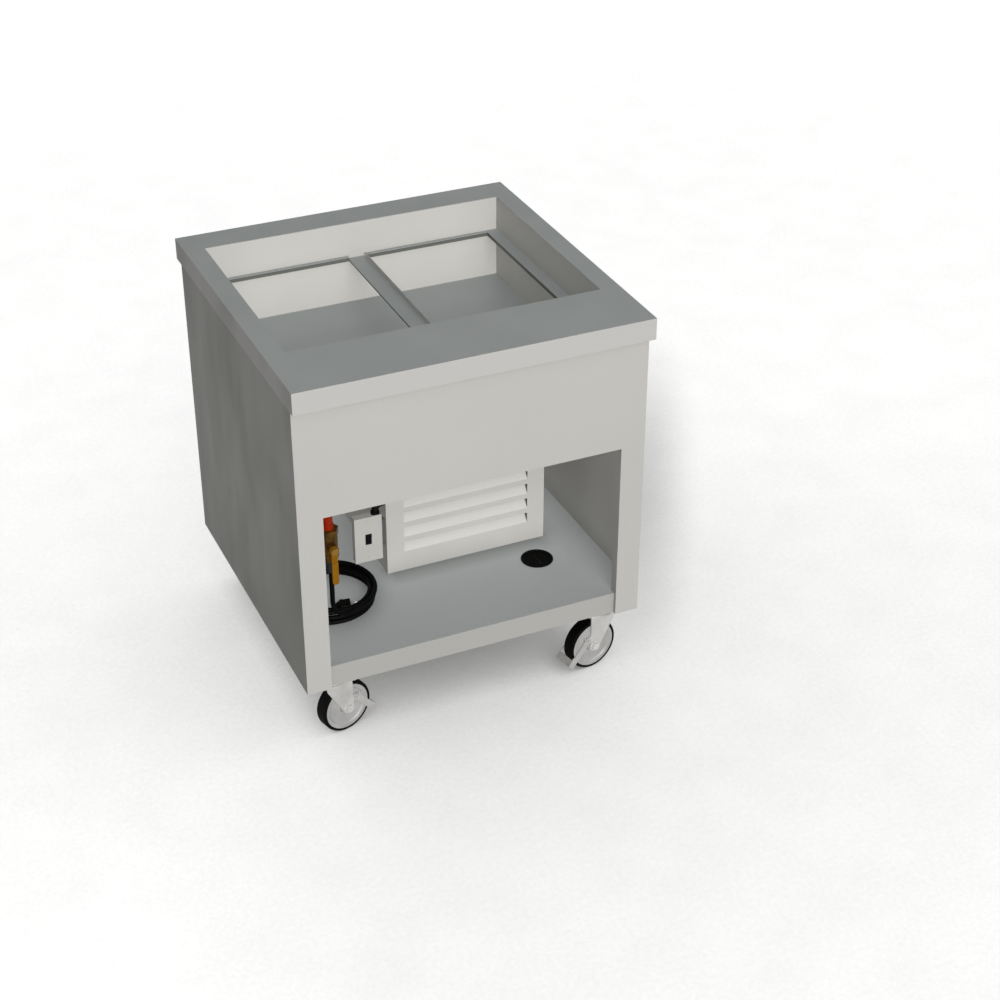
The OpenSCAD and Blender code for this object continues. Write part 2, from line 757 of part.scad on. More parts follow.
// louvers: each slopes up and back from the lower edge of its slot
module louver_panel() color([0.75, 0.74, 0.72]) {
    slot_h = louver_pitch - 13;
    difference() {
        block([unit_x0, unit_y0, shelf_z], [unit_x1, unit_y0 + sheet, unit_z1]);
        for (i = [0 : louver_n - 1])
            translate([louver_x - louver_w / 2, unit_y0 - 1, louver_z + i * louver_pitch])
                cube([louver_w, sheet + 2, slot_h]);
    }
    for (i = [0 : louver_n - 1])
        translate([louver_x - louver_w / 2, unit_y0, louver_z + i * louver_pitch])
            rotate([90, 0, 90]) linear_extrude(louver_w) polygon([
                [0, -1], [sheet, -1], [sheet, 0], [louver_slope, louver_slope - sheet],
                [louver_slope - sheet, louver_slope], [0, sheet / 2],
            ]);
}

module unit_base() color([0.45, 0.45, 0.45]) {
    x0 = unit_x0 + sheet;
    x1 = unit_x1 - sheet;
    block([x0, unit_y0 + 8, shelf_z], [x1, unit_y1 - 4, shelf_z + base_t]);
    for (y = [unit_y0 + 8, unit_y1 - 4 - base_t])
        block([x0, y, shelf_z], [x1, y + base_t, shelf_z + 14]);
    // mounts under the compressor's feet
    for (i = [-1, 1], j = [-1, 1])
        rod_z([comp_at[0] + i * comp_d * 0.36, comp_at[1] + j * comp_d * 0.36, shelf_z + base_t - 0.5],
            10.5, foot_d);
}

comp_z = shelf_z + base_t + 10;

module compressor() color([0.07, 0.07, 0.07]) {
    r = comp_d / 2;
    h = comp_h;
    translate([comp_at[0], comp_at[1], comp_z]) {
        translate([-r * 0.86, -r * 0.86, 0]) cube([r * 1.72, r * 1.72, 3]);
        rotate_extrude() difference() {
            union() {
                translate([0, 2]) square([r, h - dome_r - 2]);
                translate([0, h - dome_r - 1]) square([r - dome_r, dome_r + 1]);
                translate([r - dome_r, h - dome_r]) circle(r = dome_r);
            }
            translate([-r, -1]) square([r, 2 * h]);
        }
        rod_x([r - 3, 0, h / 2], 10, 36);
    }
    // stub that the suction line ends on
    rod_z([comp_at[0], comp_at[1], comp_z + h - 1], 13, tube_d + 4);
}

module condenser_coil() color([0.62, 0.64, 0.64]) {
    w = coil_box[0];
    h = coil_box[2];
    z0 = shelf_z + 17;
    x0 = louver_x - w / 2;
    fin_pitch = 10;
    for (x = [0, w - 1.5])
        block([x0 + x, coil_y0, z0], [x0 + x + 1.5, shroud_y, z0 + h]);
    for (z = [z0, z0 + h - 1.5])
        block([x0, coil_y0, z], [x0 + w, shroud_y, z + 1.5]);
    for (i = [1 : floor((w - 4) / fin_pitch)])
        block([x0 + i * fin_pitch, coil_y0 + 1, z0 + 1],
            [x0 + i * fin_pitch + 0.8, shroud_y - 1, z0 + h - 1]);
    for (i = [0 : 7])
        rod_x([x0 - 6, coil_y0 + coil_box[1] / 2, z0 + h * (i + 0.5) / 8], w + 12, tube_d);
    // feet on the base
    for (x = [x0, x0 + w - 20])
        block([x, coil_y0 + 4, shelf_z + base_t], [x + 20, shroud_y - 4, z0 + 1]);
}

module fan_shroud() color([0.3, 0.3, 0.3]) {
    w = coil_box[0];
    h = coil_box[2];
    z0 = shelf_z + 17;
    x0 = louver_x - w / 2;
    throat = fan_d + 16;
    difference() {
        union() {
            block([x0, shroud_y, z0], [x0 + w, shroud_y + 2, z0 + h]);
            rod_y([fan_at[0], shroud_y, fan_at[2]], throat_l, throat + 4);
        }
        rod_y([fan_at[0], shroud_y - 1, fan_at[2]], far, throat);
    }
}

motor_y = fan_at[1] + motor_gap;
motor_plate = motor_y + bracket_set;      // front of the bracket's upright
motor_d = 76;

module fan_motor() color([0.12, 0.12, 0.12]) {
    leg = 50;
    rod_y([fan_at[0], motor_y, fan_at[2]], motor_l, motor_d);
    rod_y([fan_at[0], fan_at[1] - 4, fan_at[2]], motor_y - fan_at[1] + 5, 8);
    // bracket down to the base
    block([fan_at[0] - leg / 2, motor_plate, shelf_z + base_t],
        [fan_at[0] + leg / 2, motor_plate + 4, fan_at[2]]);
    block([fan_at[0] - leg / 2, motor_y + 4, shelf_z + base_t],
          [fan_at[0] + leg / 2, motor_plate + 4, shelf_z + base_t + 3]);
}

module fan_blade() color([0.5, 0.52, 0.53]) {
    hub_d = 46;
    translate([fan_at[0], fan_at[1], fan_at[2]]) difference() {
        union() {
            rod_y([0, 0, 0], hub_l, hub_d);
            for (i = [0 : fan_n - 1])
                rotate([0, 360 / fan_n * i, 0]) intersection() {
                    translate([0, hub_l / 2, hub_d / 2 - 3]) rotate([0, 0, 28]) translate([-blade_w / 2,
                        -1, 0])
                        cube([blade_w, 2, fan_d / 2 - hub_d / 2 + 3]);
                    rod_y([0, -blade_w / 2, 0], 2 * blade_w, fan_d);
                }
        }
        rod_y([0, -far / 2, 0], far, 8 + 2 * run);
    }
}

// from the evaporator's ends, back below the casing and down into the housing
module refrigerant_lines() color([0.72, 0.45, 0.2]) {
    ends = [shelf_z + base_t + drier_h, comp_z + comp_h + 12];
    for (i = [0, 1]) {
        x = line_xs[i];
        y1 = comp_at[1];
        rod_z([x, tube_y, line_z + bend_r], tube_end - line_z - bend_r, tube_d);
        quarter_yz([x, tube_y + bend_r, line_z + bend_r], 180, bend_r, tube_d);
        rod_y([x, tube_y + bend_r, line_z], y1 - tube_y - 2 * bend_r, tube_d);
        quarter_yz([x, y1 - bend_r, line_z - bend_r], 0, bend_r, tube_d);
        rod_z([x, y1, ends[i]], line_z - bend_r - ends[i], tube_d);
    }
    // filter drier, standing on the base
    rod_z([drier_at[0], drier_at[1], shelf_z + base_t], 8, drier_d * 0.6);
    rod_z([drier_at[0], drier_at[1], shelf_z + base_t + 7], drier_h - 14, drier_d);
    rod_z([drier_at[0], drier_at[1], shelf_z + base_t + drier_h - 8], 9, drier_d * 0.5);
}

// ---- switch ----

module switch_box() color([0.7, 0.7, 0.69]) {
    m = 2;
    difference() {
        block([box_x0 + m, box_y0, box_z0 + m], [box_x1 - m, box_y0 + box_d, box_z0 + cover_h - m]);
        block([box_x0 + 2 * m, box_y0 - 1, box_z0 + 2 * m],
              [box_x1 - 2 * m, box_y0 + box_d - m, box_z0 + cover_h - 2 * m]);
        rod_z([elbow_x, elbow_y, box_z0 + cover_h - 3 * m], 4 * m, elbow_d - 5);
    }
}

cover_x = (box_x0 + box_x1) / 2;
cover_z = box_z0 + cover_h / 2;
screw_up = cover_h / 2 - 12;
rocker_w = 15;
rocker_h = 28;
rocker_tilt = 6;                           // half of its swing

module switch_cover() color([0.76, 0.76, 0.74]) {
    y0 = box_y0 - cover_t;
    difference() {
        block([box_x0, y0, box_z0], [box_x1, box_y0, box_z0 + cover_h]);
        block([cover_x - rocker_w / 2 - gap, y0 - 1, cover_z - rocker_h / 2 - gap],
              [cover_x + rocker_w / 2 + gap, box_y0 + 1, cover_z + rocker_h / 2 + gap]);
    }
    // screw heads
    for (s = [-1, 1])
        rod_y([cover_x, y0 - 0.8, cover_z + s * screw_up], 1, 6);
}

// the rocker turns about a pin across the box
module rocker_switch() color([0.04, 0.04, 0.04]) {
    y0 = box_y0 - cover_t;
    w = rocker_w / 2;
    h = rocker_h / 2 - 1.2;
    translate([cover_x, y0 + 3, cover_z]) rotate([rocker_tilt, 0, 0]) rotate([90, 0, 90])
        translate([0, 0, -w]) linear_extrude(2 * w)
            polygon([[-4.4, h], [-2.8, 0], [-4.4, -h], [3, -h + 1], [5, 0], [3, h - 1]]);
}

elbow_y = box_y0 + 11.5;
elbow_back = 15;
elbow_z = box_z0 + cover_h - 2 + 8;
conduit_z = elbow_z + elbow_turn;

module switch_conduit() color([0.05, 0.05, 0.05]) {
    rod_z([elbow_x, elbow_y, elbow_z - 8], 6, elbow_d + 5);
    rod_z([elbow_x, elbow_y, elbow_z - 4], 4.5, elbow_d);
    // a quarter turn that leans back to the housing's side
    translate([elbow_x + elbow_turn, elbow_y, elbow_z]) rotate([90, 0,
        0]) rotate(90) quarter(elbow_turn, elbow_d);
    translate([elbow_x + elbow_turn, elbow_y, conduit_z]) sphere(d = elbow_d);
    rod_y([elbow_x + elbow_turn, elbow_y, conduit_z], elbow_back, elbow_d);
    translate([elbow_x + elbow_turn, elbow_y + elbow_back, conduit_z]) sphere(d = elbow_d);
    rod_x([elbow_x + elbow_turn, elbow_y + elbow_back, conduit_z], unit_x0 - elbow_x - elbow_turn, elbow_d);
}

module switch_bracket() color([0.6, 0.6, 0.6]) {
    y = box_y0 + box_d;
    block([box_x0 + 8, y, box_z0 + 20], [unit_x0, y + 2, box_z0 + cover_h - 30]);
    block([unit_x0 - 2, y, box_z0 + 20], [unit_x0, y + 34, box_z0 + cover_h - 30]);
}

// ---- power cord ----

function ease(u, from, to) = u < from ? 0 : u > to ? 1 : (1 - cos(180 * (u - from) / (to - from))) / 2;
function wound(u) = u < cord_flip ? u : u < 2 * cord_flip ? 2 * cord_flip - u : u - 2 * cord_flip;
function coil_radius(u) =
    let (low_r = coil_r - cord_pitch * wound(cord_low) / 360)
    u < cord_low ? coil_r - cord_pitch * wound(u) / 360
                 : low_r - (low_r - coil_in) * ease(u, cord_low, cord_turn);
function sink(u) = ease(u, cord_flip - 90, cord_flip + 90) + ease(u, 2 * cord_flip - 90, 2 * cord_flip + 90);
function coil_point(u) =
    let (a = cord_start + u, r = coil_radius(u))
    [-coil_x + r * cos(a), front + coil_y + r * sin(a), coil_top - cord_pitch * sink(u)];
function heading(a) = [-sin(a), cos(a), 0];
coil_first = coil_point(0) - end_straight * heading(cord_start);
coil_last = coil_point(cord_turn) + tail * heading(cord_start + cord_turn);
coil_path = concat(
    [coil_first],
    [for (i = [0 : coil_steps]) coil_point(cord_turn * i / coil_steps)],
    [coil_last]
);
lead_path = [
    for (p = lead_drop) coil_first - (p[0] + join) * heading(cord_start) + [0, 0, p[1]],
    for (p = lead_rise) let (q = coil_first - (56 + join) * heading(cord_start)) [q[0] + p[0], q[1],
        lead_top - p[1]],
];

// least distance between stretches of the coil that are over half a turn apart
coil_gaps = [
    for (i = [0 : len(coil_path) - 1], j = [i + 16 : 1 : len(coil_path) - 1])
        norm(coil_path[i] - coil_path[j]) - cord_d
];
echo(least_coil_gap = min(coil_gaps));

function unit(v) = v / norm(v);
function tangent(path, i) =
    i == 0 ? unit(path[1] - path[0])
    : i == len(path) - 1 ? unit(path[i] - path[i - 1])
    : unit(unit(path[i + 1] - path[i]) + unit(path[i] - path[i - 1]));

// sides of a ring stay level with a fixed side direction, so that the tube never twists
function ring(p, t, side, n, d) =
    let (u = unit(side - (side * t) * t), v = cross(t, u))
    [for (k = [0 : n - 1]) p + d / 2 * (cos(360 * (k + 0.5) / n) * u + sin(360 * (k + 0.5) / n) * v)];

module sweep(path, sides, n, d) {
    m = len(path);
    points = [for (i = [0 : m - 1]) each ring(path[i], tangent(path, i), sides[i], n, d)];
    walls = [
        for (i = [0 : m - 2], k = [0 : n - 1])
            let (a = i * n + k, b = i * n + (k + 1) % n)
            each [[a, a + n, b + n], [a, b + n, b]]
    ];
    caps = [
        for (k = [1 : n - 2])
            each [[0, k, k + 1], [(m - 1) * n, (m - 1) * n + k + 1, (m - 1) * n + k]]
    ];
    polyhedron(points = points, faces = concat(walls, caps));
}

module cord_coil() color([0.02, 0.02, 0.02]) {
    up = [for (p = coil_path) [0, 0, 1]];
    sweep(coil_path, up, 6, cord_d);
}

module cord_lead() color([0.02, 0.02, 0.02]) {
    across = [for (p = lead_path) cross([0, 0, 1], heading(cord_start))];
    sweep(lead_path, across, 8, cord_d);
}

module cord_gland() color([0.03, 0.03, 0.03]) {
    p = lead_path[len(lead_path) - 1];
    translate([p[0], p[1], 0]) {
        translate([0, 0, casing_z - 9]) cylinder(h = 9, d = 24 / cos(30), $fn = 6);
        translate([0, 0, lead_top]) rotate_extrude() polygon([[0, 0], [7, 0],
            [10, casing_z - lead_top - 8], [0, casing_z - lead_top - 8]]);
    }
}

module cord_plug() color([0.03, 0.03, 0.03]) {
    a = cord_start + cord_turn + 90;
    boot = 16;
    rise = shelf_z + plug_t / 2 + 0.2 - coil_last[2];
    translate(coil_last) rotate(a) translate([join, 0, 0]) {
        hull() {
            rotate([0, 90, 0]) cylinder(h = 1, d = cord_d, $fn = 16);
            translate([boot, -plug_w / 2 + 5, rise - plug_t / 2 + 2]) cube([1, plug_w - 10, plug_t - 4]);
        }
        difference() {
            translate([boot, -plug_w / 2, rise - plug_t / 2]) cube([plug_l - boot, plug_w, plug_t]);
            for (s = [-1, 1])
                translate([boot - 1, s * plug_w / 2, rise]) rotate([0, 90, 0]) cylinder(h = plug_l, d = 7);
        }
        // two blades and a round earth pin
        for (s = [-1, 1])
            translate([plug_l - 1, s * 6.35 - 0.75, rise - 3.2]) cube([17, 1.5, 6.4]);
        rod_x([plug_l - 1, 0, rise + 8], 19, 4.8);
    }
}

// ---- casters ----

module caster_plates() color([0.72, 0.72, 0.71]) {
    for (i = [0 : 3])
        at_caster(i) difference() {
            union() {
                block([-plate_l / 2, -plate_w / 2, plate_z], [plate_l / 2, plate_w / 2, base_z]);
                translate([0, 0, race_z]) cylinder(h = race_h + 1, d = 56);
                translate([0, 0, crown_z - gap - 4]) cylinder(h = race_z - crown_z + 5, d = king_d);
                translate([0, 0, crown_z - gap - 4]) cylinder(h = 4, d = king_d + 8);
            }
            for (s = [-1, 1], t = [-1, 1])
                rod_z([s * hole_l / 2, t * hole_w / 2, plate_z - 1], plate_t + 2, bolt_d + 0.5);
        }
}

module caster_bolts() color([0.8, 0.8, 0.8]) {
    head = bolt_d * 0.62;
    for (i = [0 : 3], s = [-1, 1], t = [-1, 1])
        at_caster(i) translate([s * hole_l / 2, t * hole_w / 2, 0]) {
            hex_z([0, 0, plate_z - head], head, bolt_d * 1.6);
            rod_z([0, 0, plate_z - 1], plate_t + rail_t + 10, bolt_d);
            hex_z([0, 0, base_z + rail_t], bolt_d * 0.8, bolt_d * 1.6);
        }
}

// a leg's outline in x and z: wide at the crown, round at the axle
module leg_outline() {
    boss = 14;
    edge_x = trail + 12;
    difference() {
        union() {
            translate([trail, axle_z]) circle(r = boss);
            polygon([
                [-30, crown_z + crown_t], [edge_x, crown_z + crown_t], [edge_x, axle_z + 22],
                    [trail + boss, axle_z],
                [trail - boss * cos(40), axle_z - boss * sin(40)], [-26, crown_z - 12],
            ]);
        }
        translate([trail, axle_z]) circle(d = axle_d + 2 * run);
    }
}

module caster_fork(i) color([0.74, 0.74, 0.73]) {
    outer = leg_in + leg_t;
    at_caster(i) rotate(fork_spin[i]) {
        difference() {
            union() {
                for (s = [-1, 1])
                    translate([0, s > 0 ? outer : -leg_in, 0]) rotate([90, 0,
                        0]) linear_extrude(leg_t) leg_outline();
                block([-30, -outer, crown_z], [trail + 12, outer, crown_z + crown_t]);
                translate([0, 0, crown_z]) cylinder(h = crown_t, d = 62);
            }
            translate([0, 0, crown_z - 1]) cylinder(h = crown_t + 2, d = king_d + 2 * run);
            translate([0, 0, crown_z - gap - 4]) cylinder(h = 4 + gap, d = king_d + 8 + 2 * gap);
        }
        if (i < 2)
            pedal_pins(outer);
    }
}

// pins on the outer faces of the legs, which carry the pedal
module pedal_pins(outer) {
    x = trail + pedal_pin;
    z = axle_z + pedal_pin;
    for (s = [-1, 1]) {
        translate([trail + 6, s > 0 ? leg_in : -outer, z - 8]) cube([pedal_pin + 2, leg_t, 16]);
        translate([x, s > 0 ? leg_in : -outer - 6, z]) rotate([-90, 0, 0]) cylinder(h = leg_t + 6, d = 8);
    }
}

module brake_pedal(i) color([0.78, 0.78, 0.77]) {
    arm_in = leg_in + leg_t + gap;
    arm_out = arm_in + 2.5;
    at_caster(i) rotate(fork_spin[i]) translate([trail + pedal_pin, 0, axle_z + pedal_pin])
        rotate([0, pedal_tilt, 0]) difference() {
            union() {
                for (s = [-1, 1]) {
                    translate([0, s > 0 ? arm_in : -arm_out, 0]) rotate([-90, 0, 0]) cylinder(h = 2.5,
                        d = 17);
                    translate([0, s > 0 ? arm_in : -arm_out, -7]) cube([pedal_reach + 17, 2.5, 17.5]);
                }
                // the foot plate lies along the arms' upper edge
                block([pedal_reach, -arm_out, 7], [pedal_reach + 17, arm_out, 10.5]);
            }
            rotate([90, 0, 0]) cylinder(h = far, d = 8 + 2 * run, center = true);
            // the arms narrow towards the pin
            block([-9, -far / 2, 8.4], [pedal_reach - 6, far / 2, 20]);
        }
}

module caster_axle(i) color([0.8, 0.8, 0.8]) {
    outer = leg_in + leg_t;
    at_caster(i) rotate(fork_spin[i]) translate([trail, 0, axle_z]) rotate([90, 0, 0]) {
        cylinder(h = 2 * outer + 8, d = axle_d, center = true);
        hex_z([0, 0, outer], 6, axle_d * 1.45);
        hex_z([0, 0, -outer - 6], 6, axle_d * 1.45);
    }
}

module caster_wheel(i) color([0.78, 0.79, 0.79]) {
    rim = core_d / 2 - run;
    hub = leg_in - 0.5;
    face = tread_w / 2 - 1;
    at_caster(i) rotate(fork_spin[i]) translate([trail, 0, axle_z]) rotate([90, 0, 0]) difference() {
        rotate_extrude() polygon([
            [axle_d / 2 + run, -hub], [17, -hub], [18, -face + 3], [rim - 12, -face + 3],
                [rim - 8, -face], [rim, -face],
            [rim, face], [rim - 8, face], [rim - 12, face - 3], [18, face - 3], [17, hub],
                [axle_d / 2 + run, hub],
        ]);
    }
}

module caster_tread(i) color([0.05, 0.05, 0.05]) {
    r = wheel_d / 2;
    w = tread_w / 2;
    at_caster(i) rotate(fork_spin[i]) translate([trail, 0, axle_z]) rotate([90, 0,
        0]) rotate_extrude() polygon([
        [core_d / 2, -w + 1], [core_d / 2 + 2, -w], [r - 4, -w], [r - 1.2, -w + 1.6], [r, -w + 5],
        [r, w - 5], [r - 1.2, w - 1.6], [r - 4, w], [core_d / 2 + 2, w], [core_d / 2, w - 1],
    ]);
}

countertop();
well_liner();
well_insulation();
well_casing();
evaporator_coil();
pan_ledges();
adapter_bar();
drain_fitting();
drain_strainer();
drain_pipe();
valve_body();
valve_ball();
valve_lever();
drain_spout();
front_frame();
left_panel();
right_panel();
back_panel();
bottom_shelf();
shelf_grommet();
base_rails();
panel_screws();
caster_bolts();
condenser_housing();
louver_panel();
unit_base();
compressor();
condenser_coil();
fan_shroud();
fan_motor();
fan_blade();
refrigerant_lines();
switch_box();
switch_cover();
rocker_switch();
switch_conduit();
switch_bracket();
cord_gland();
cord_lead();
cord_coil();
cord_plug();
caster_plates();
caster_fork(0);  // caster_fork_fl
caster_axle(0);  // caster_axle_fl
caster_wheel(0);  // caster_wheel_fl
caster_tread(0);  // caster_tread_fl
brake_pedal(0);  // brake_pedal_fl
caster_fork(1);  // caster_fork_fr
caster_axle(1);  // caster_axle_fr
caster_wheel(1);  // caster_wheel_fr
caster_tread(1);  // caster_tread_fr
brake_pedal(1);  // brake_pedal_fr
caster_fork(2);  // caster_fork_bl
caster_axle(2);  // caster_axle_bl
caster_wheel(2);  // caster_wheel_bl
caster_tread(2);  // caster_tread_bl
caster_fork(3);  // caster_fork_br
caster_axle(3);  // caster_axle_br
caster_wheel(3);  // caster_wheel_br
caster_tread(3);  // caster_tread_br
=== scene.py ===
import json
import math

import bpy
import numpy as np
from mathutils import Matrix, Vector


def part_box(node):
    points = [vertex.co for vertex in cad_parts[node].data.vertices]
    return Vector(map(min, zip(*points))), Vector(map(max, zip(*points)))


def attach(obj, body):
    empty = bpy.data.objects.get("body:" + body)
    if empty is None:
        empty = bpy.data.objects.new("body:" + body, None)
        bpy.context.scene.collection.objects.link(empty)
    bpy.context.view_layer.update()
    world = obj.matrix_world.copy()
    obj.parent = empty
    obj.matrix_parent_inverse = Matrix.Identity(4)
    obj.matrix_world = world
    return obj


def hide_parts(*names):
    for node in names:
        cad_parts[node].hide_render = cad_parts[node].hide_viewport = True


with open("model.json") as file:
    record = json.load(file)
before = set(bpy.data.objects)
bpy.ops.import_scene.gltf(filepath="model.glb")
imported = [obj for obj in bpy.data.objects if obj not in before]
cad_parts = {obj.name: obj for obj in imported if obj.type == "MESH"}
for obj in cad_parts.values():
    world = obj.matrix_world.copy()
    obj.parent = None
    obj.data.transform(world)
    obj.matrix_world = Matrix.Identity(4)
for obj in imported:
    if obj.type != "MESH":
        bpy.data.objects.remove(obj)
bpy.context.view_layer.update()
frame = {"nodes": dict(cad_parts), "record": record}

nodes = frame["nodes"]
slotNames = [entry["slot"] for entry in frame["record"]["materials"]]
print("frame loaded:", len(nodes), "CAD nodes,", len(slotNames), "slots")


# Camera: the eye, the direction of view and the picture's right-hand direction, in the object's own
# frame.
camera = {
    "eye": (-1.4264, -3.6619, 2.7794),
    "forward": (0.34920, 0.77405, -0.52812),
    "right": (0.91193, -0.41035, 0.00155),
    "lens": 70.9,
    "sensor": 36.0,
    "clip": (0.05, 80.0),
}


def placeCamera(facts):
    # Columns of the turn are right, up and back, where up = right x forward.
    forward = Vector(facts["forward"]).normalized()
    right = Vector(facts["right"]).normalized()
    up = right.cross(forward).normalized()
    turn = Matrix((right, up, -forward)).transposed().to_4x4()
    data = bpy.data.cameras.new("pictureCamera")
    data.lens = facts["lens"]
    data.sensor_width = facts["sensor"]
    data.clip_start, data.clip_end = facts["clip"]
    made = bpy.data.objects.new("pictureCamera", data)
    made.matrix_world = Matrix.Translation(facts["eye"]) @ turn
    bpy.context.scene.collection.objects.link(made)
    bpy.context.scene.camera = made


placeCamera(camera)
print("camera placed")


# Meshes from numpy grids.
def meshPiece(name, points, faces, smooth=True):
    # One mesh object at the origin, with its place in its vertices.
    mesh = bpy.data.meshes.new(name)
    mesh.from_pydata(np.asarray(points, float).tolist(), [], [list(map(int, f)) for f in faces])
    mesh.update()
    mesh.polygons.foreach_set("use_smooth", np.full(len(mesh.polygons), smooth))
    made = bpy.data.objects.new(name, mesh)
    bpy.context.scene.collection.objects.link(made)
    return made


def gridFaces(rows, columns):
    # Quads between neighbouring rings of a closed tube: (i, k), (i, k+1), (i+1, k+1), (i+1, k).
    i, k = np.meshgrid(np.arange(rows - 1), np.arange(columns), indexing="ij")
    a = i * columns + k
    b = i * columns + (k + 1) % columns
    return np.stack([a, b, b + columns, a + columns], -1).reshape(-1, 4)


def closedTube(rings):
    # rings[i, k] is a point; both ends are closed by a fan round the middle of the end ring.
    rows, columns = rings.shape[:2]
    points = np.concatenate([rings.reshape(-1, 3), rings[:1].mean(1), rings[-1:].mean(1)])
    k = np.arange(columns)
    after = (k + 1) % columns
    base = (rows - 1) * columns
    first = np.stack([np.full(columns, rows * columns), after, k], -1)
    last = np.stack([np.full(columns, rows * columns + 1), base + k, base + after], -1)
    faces = gridFaces(rows, columns).tolist() + first.tolist() + last.tolist()
    return points, faces


def joinShells(shells):
    # Several closed shells, put one after the other in one mesh.
    points, faces, start = [], [], 0
    for shellPoints, shellFaces in shells:
        points.append(shellPoints)
        faces += [[v + start for v in f] for f in shellFaces]
        start += len(shellPoints)
    return np.concatenate(points), faces


def carry(path, side, radius, columns):
    # Circle carried along a path: p(s) + radius * (cos a * side + sin a * (tangent x side)).
    tangent = np.gradient(path, axis=0)
    tangent /= np.linalg.norm(tangent, axis=1, keepdims=True)
    side = side - (side * tangent).sum(1, keepdims=True) * tangent
    side /= np.linalg.norm(side, axis=1, keepdims=True)
    other = np.cross(tangent, side)
    angle = np.linspace(0, 2 * np.pi, columns, endpoint=False)[None, :, None]
    circle = np.cos(angle) * side[:, None] + np.sin(angle) * other[:, None]
    return path[:, None] + radius * circle


def loftAlong(stations, frameOf, columns):
    # Superellipse sections: |y/w|^n + |z/h|^n = 1 at each station (x, w, h, n, middle height),
    # with y = w * sgn(cos a) |cos a|^(2/n) and z = h * sgn(sin a) |sin a|^(2/n).
    x, w, h, n, mid = (np.asarray(c, float)[:, None] for c in zip(*stations))
    angle = np.linspace(0, 2 * np.pi, columns, endpoint=False)[None, :]
    c, s = np.cos(angle), np.sin(angle)
    y = w * np.sign(c) * np.abs(c) ** (2 / n)
    z = h * np.sign(s) * np.abs(s) ** (2 / n) + mid
    local = np.stack([x + 0 * y, y, z], -1)
    origin, axes = frameOf
    return origin + local @ axes


def turned(profile, frameOf, columns):
    # Profile (x, r) turned about the local x axis.
    return loftAlong([(x, r, r, 2.0, 0.0) for x, r in profile], frameOf, columns)


def upright(centre, r, a, z):
    # Closed shell round an upright line: (centre + r * (cos a, sin a), z), millimetres to metres.
    x, y = centre[0] + r * np.cos(a), centre[1] + r * np.sin(a)
    return closedTube(np.stack([x, y, z + 0 * x], -1) / 1000)


# The power cord, in millimetres as in the part's source: a lead from the gland down to the shelf,
# three layers of coil, wound inwards, outwards and inwards again, then a curl to the plug inside
# the ring. The lead's points are, in "drop", how far back along the cord and how high above the
# coil's start, and in "rise", how far across and how far below the gland.
cordRoute = {
    "diameter": 11.0,
    "pitch": 11.5,
    "coilCentre": (-260.0, -120.0),
    "coilRadius": 110.0,
    "start": -72.0,
    "flip": 450.0,
    "leaves": 1260.0,
    "turn": 1408.0,
    "curlRadius": 56.0,
    "topHeight": 236.5,
    "straight": 12.0,
    "tail": 4.0,
    "gap": 0.02,
    "foot": 56.0,
    "glandHeight": 640.0,
    "coilSteps": 569,
    "leadSteps": 8,
    "spacing": 4.0,
    "sides": 20,
    "steep": 0.35,
    "pastSteep": 12,
    "drop": [(0, 0), (10, 0), (24, 3), (36, 10), (46, 21), (53, 34), (56, 50), (56, 75), (56, 100),
             (56, 130), (56, 160), (56, 190)],
    "rise": [(0, 160), (0, 135), (3, 115), (9, 90), (16, 65), (20, 45), (21, 25), (21, 12),
             (21, 0)],
}


def headingAt(degrees):
    # Direction of travel on a circle, (-sin a, cos a, 0).
    a = np.radians(degrees)
    return np.stack([-np.sin(a), np.cos(a), np.zeros_like(a)], -1)


def throughPoints(knots, steps):
    # Catmull-Rom: for each span the cubic with end slopes (next - previous) / 2.
    padded = np.concatenate([2 * knots[:1] - knots[1:2], knots, 2 * knots[-1:] - knots[-2:-1]])
    t = np.linspace(0, 1, steps, endpoint=False)[None, :, None]
    p0, p1, p2, p3 = (padded[i:len(padded) - 3 + i, None] for i in range(4))
    m1, m2 = (p2 - p0) / 2, (p3 - p1) / 2
    curve = ((2 * t**3 - 3 * t**2 + 1) * p1 + (t**3 - 2 * t**2 + t) * m1
             + (3 * t**2 - 2 * t**3) * p2 + (t**3 - t**2) * m2)
    return np.concatenate([curve.reshape(-1, 3), knots[-1:]])


def evenly(path, spacing):
    # The same line with its points a fixed arc length apart.
    arc = np.concatenate([[0], np.cumsum(np.linalg.norm(np.diff(path, axis=0), axis=1))])
    at = np.linspace(0, arc[-1], int(round(arc[-1] / spacing)) + 1)
    return np.stack([np.interp(at, arc, path[:, c]) for c in range(3)], -1)


def eased(u, start, end):
    # Half a cosine wave, from 0 at start to 1 at end.
    return (1 - np.cos(np.pi * np.clip((u - start) / (end - start), 0, 1))) / 2


def coilLine(route):
    # Coil point at u: centre + r(u) * (cos, sin)(start + u). r falls by a pitch a turn up to the
    # flip, grows up to the second flip and falls again, then eases to the curl's radius; height
    # drops by a pitch at each flip.
    flip, leaves = route["flip"], route["leaves"]
    u = np.linspace(0, route["turn"], route["coilSteps"])
    inward = np.where(u < 2 * flip, 2 * flip - u, np.minimum(u, leaves) - 2 * flip)
    inward = np.where(u < flip, u, inward)
    r = route["coilRadius"] - route["pitch"] * inward / 360
    r = r - (r[-1] - route["curlRadius"]) * eased(u, leaves, route["turn"])
    a = np.radians(route["start"] + u)
    sink = eased(u, flip - 90, flip + 90) + eased(u, 2 * flip - 90, 2 * flip + 90)
    z = route["topHeight"] - route["pitch"] * sink
    middle = route["coilCentre"]
    return np.stack([middle[0] + r * np.cos(a), middle[1] + r * np.sin(a), z], -1)


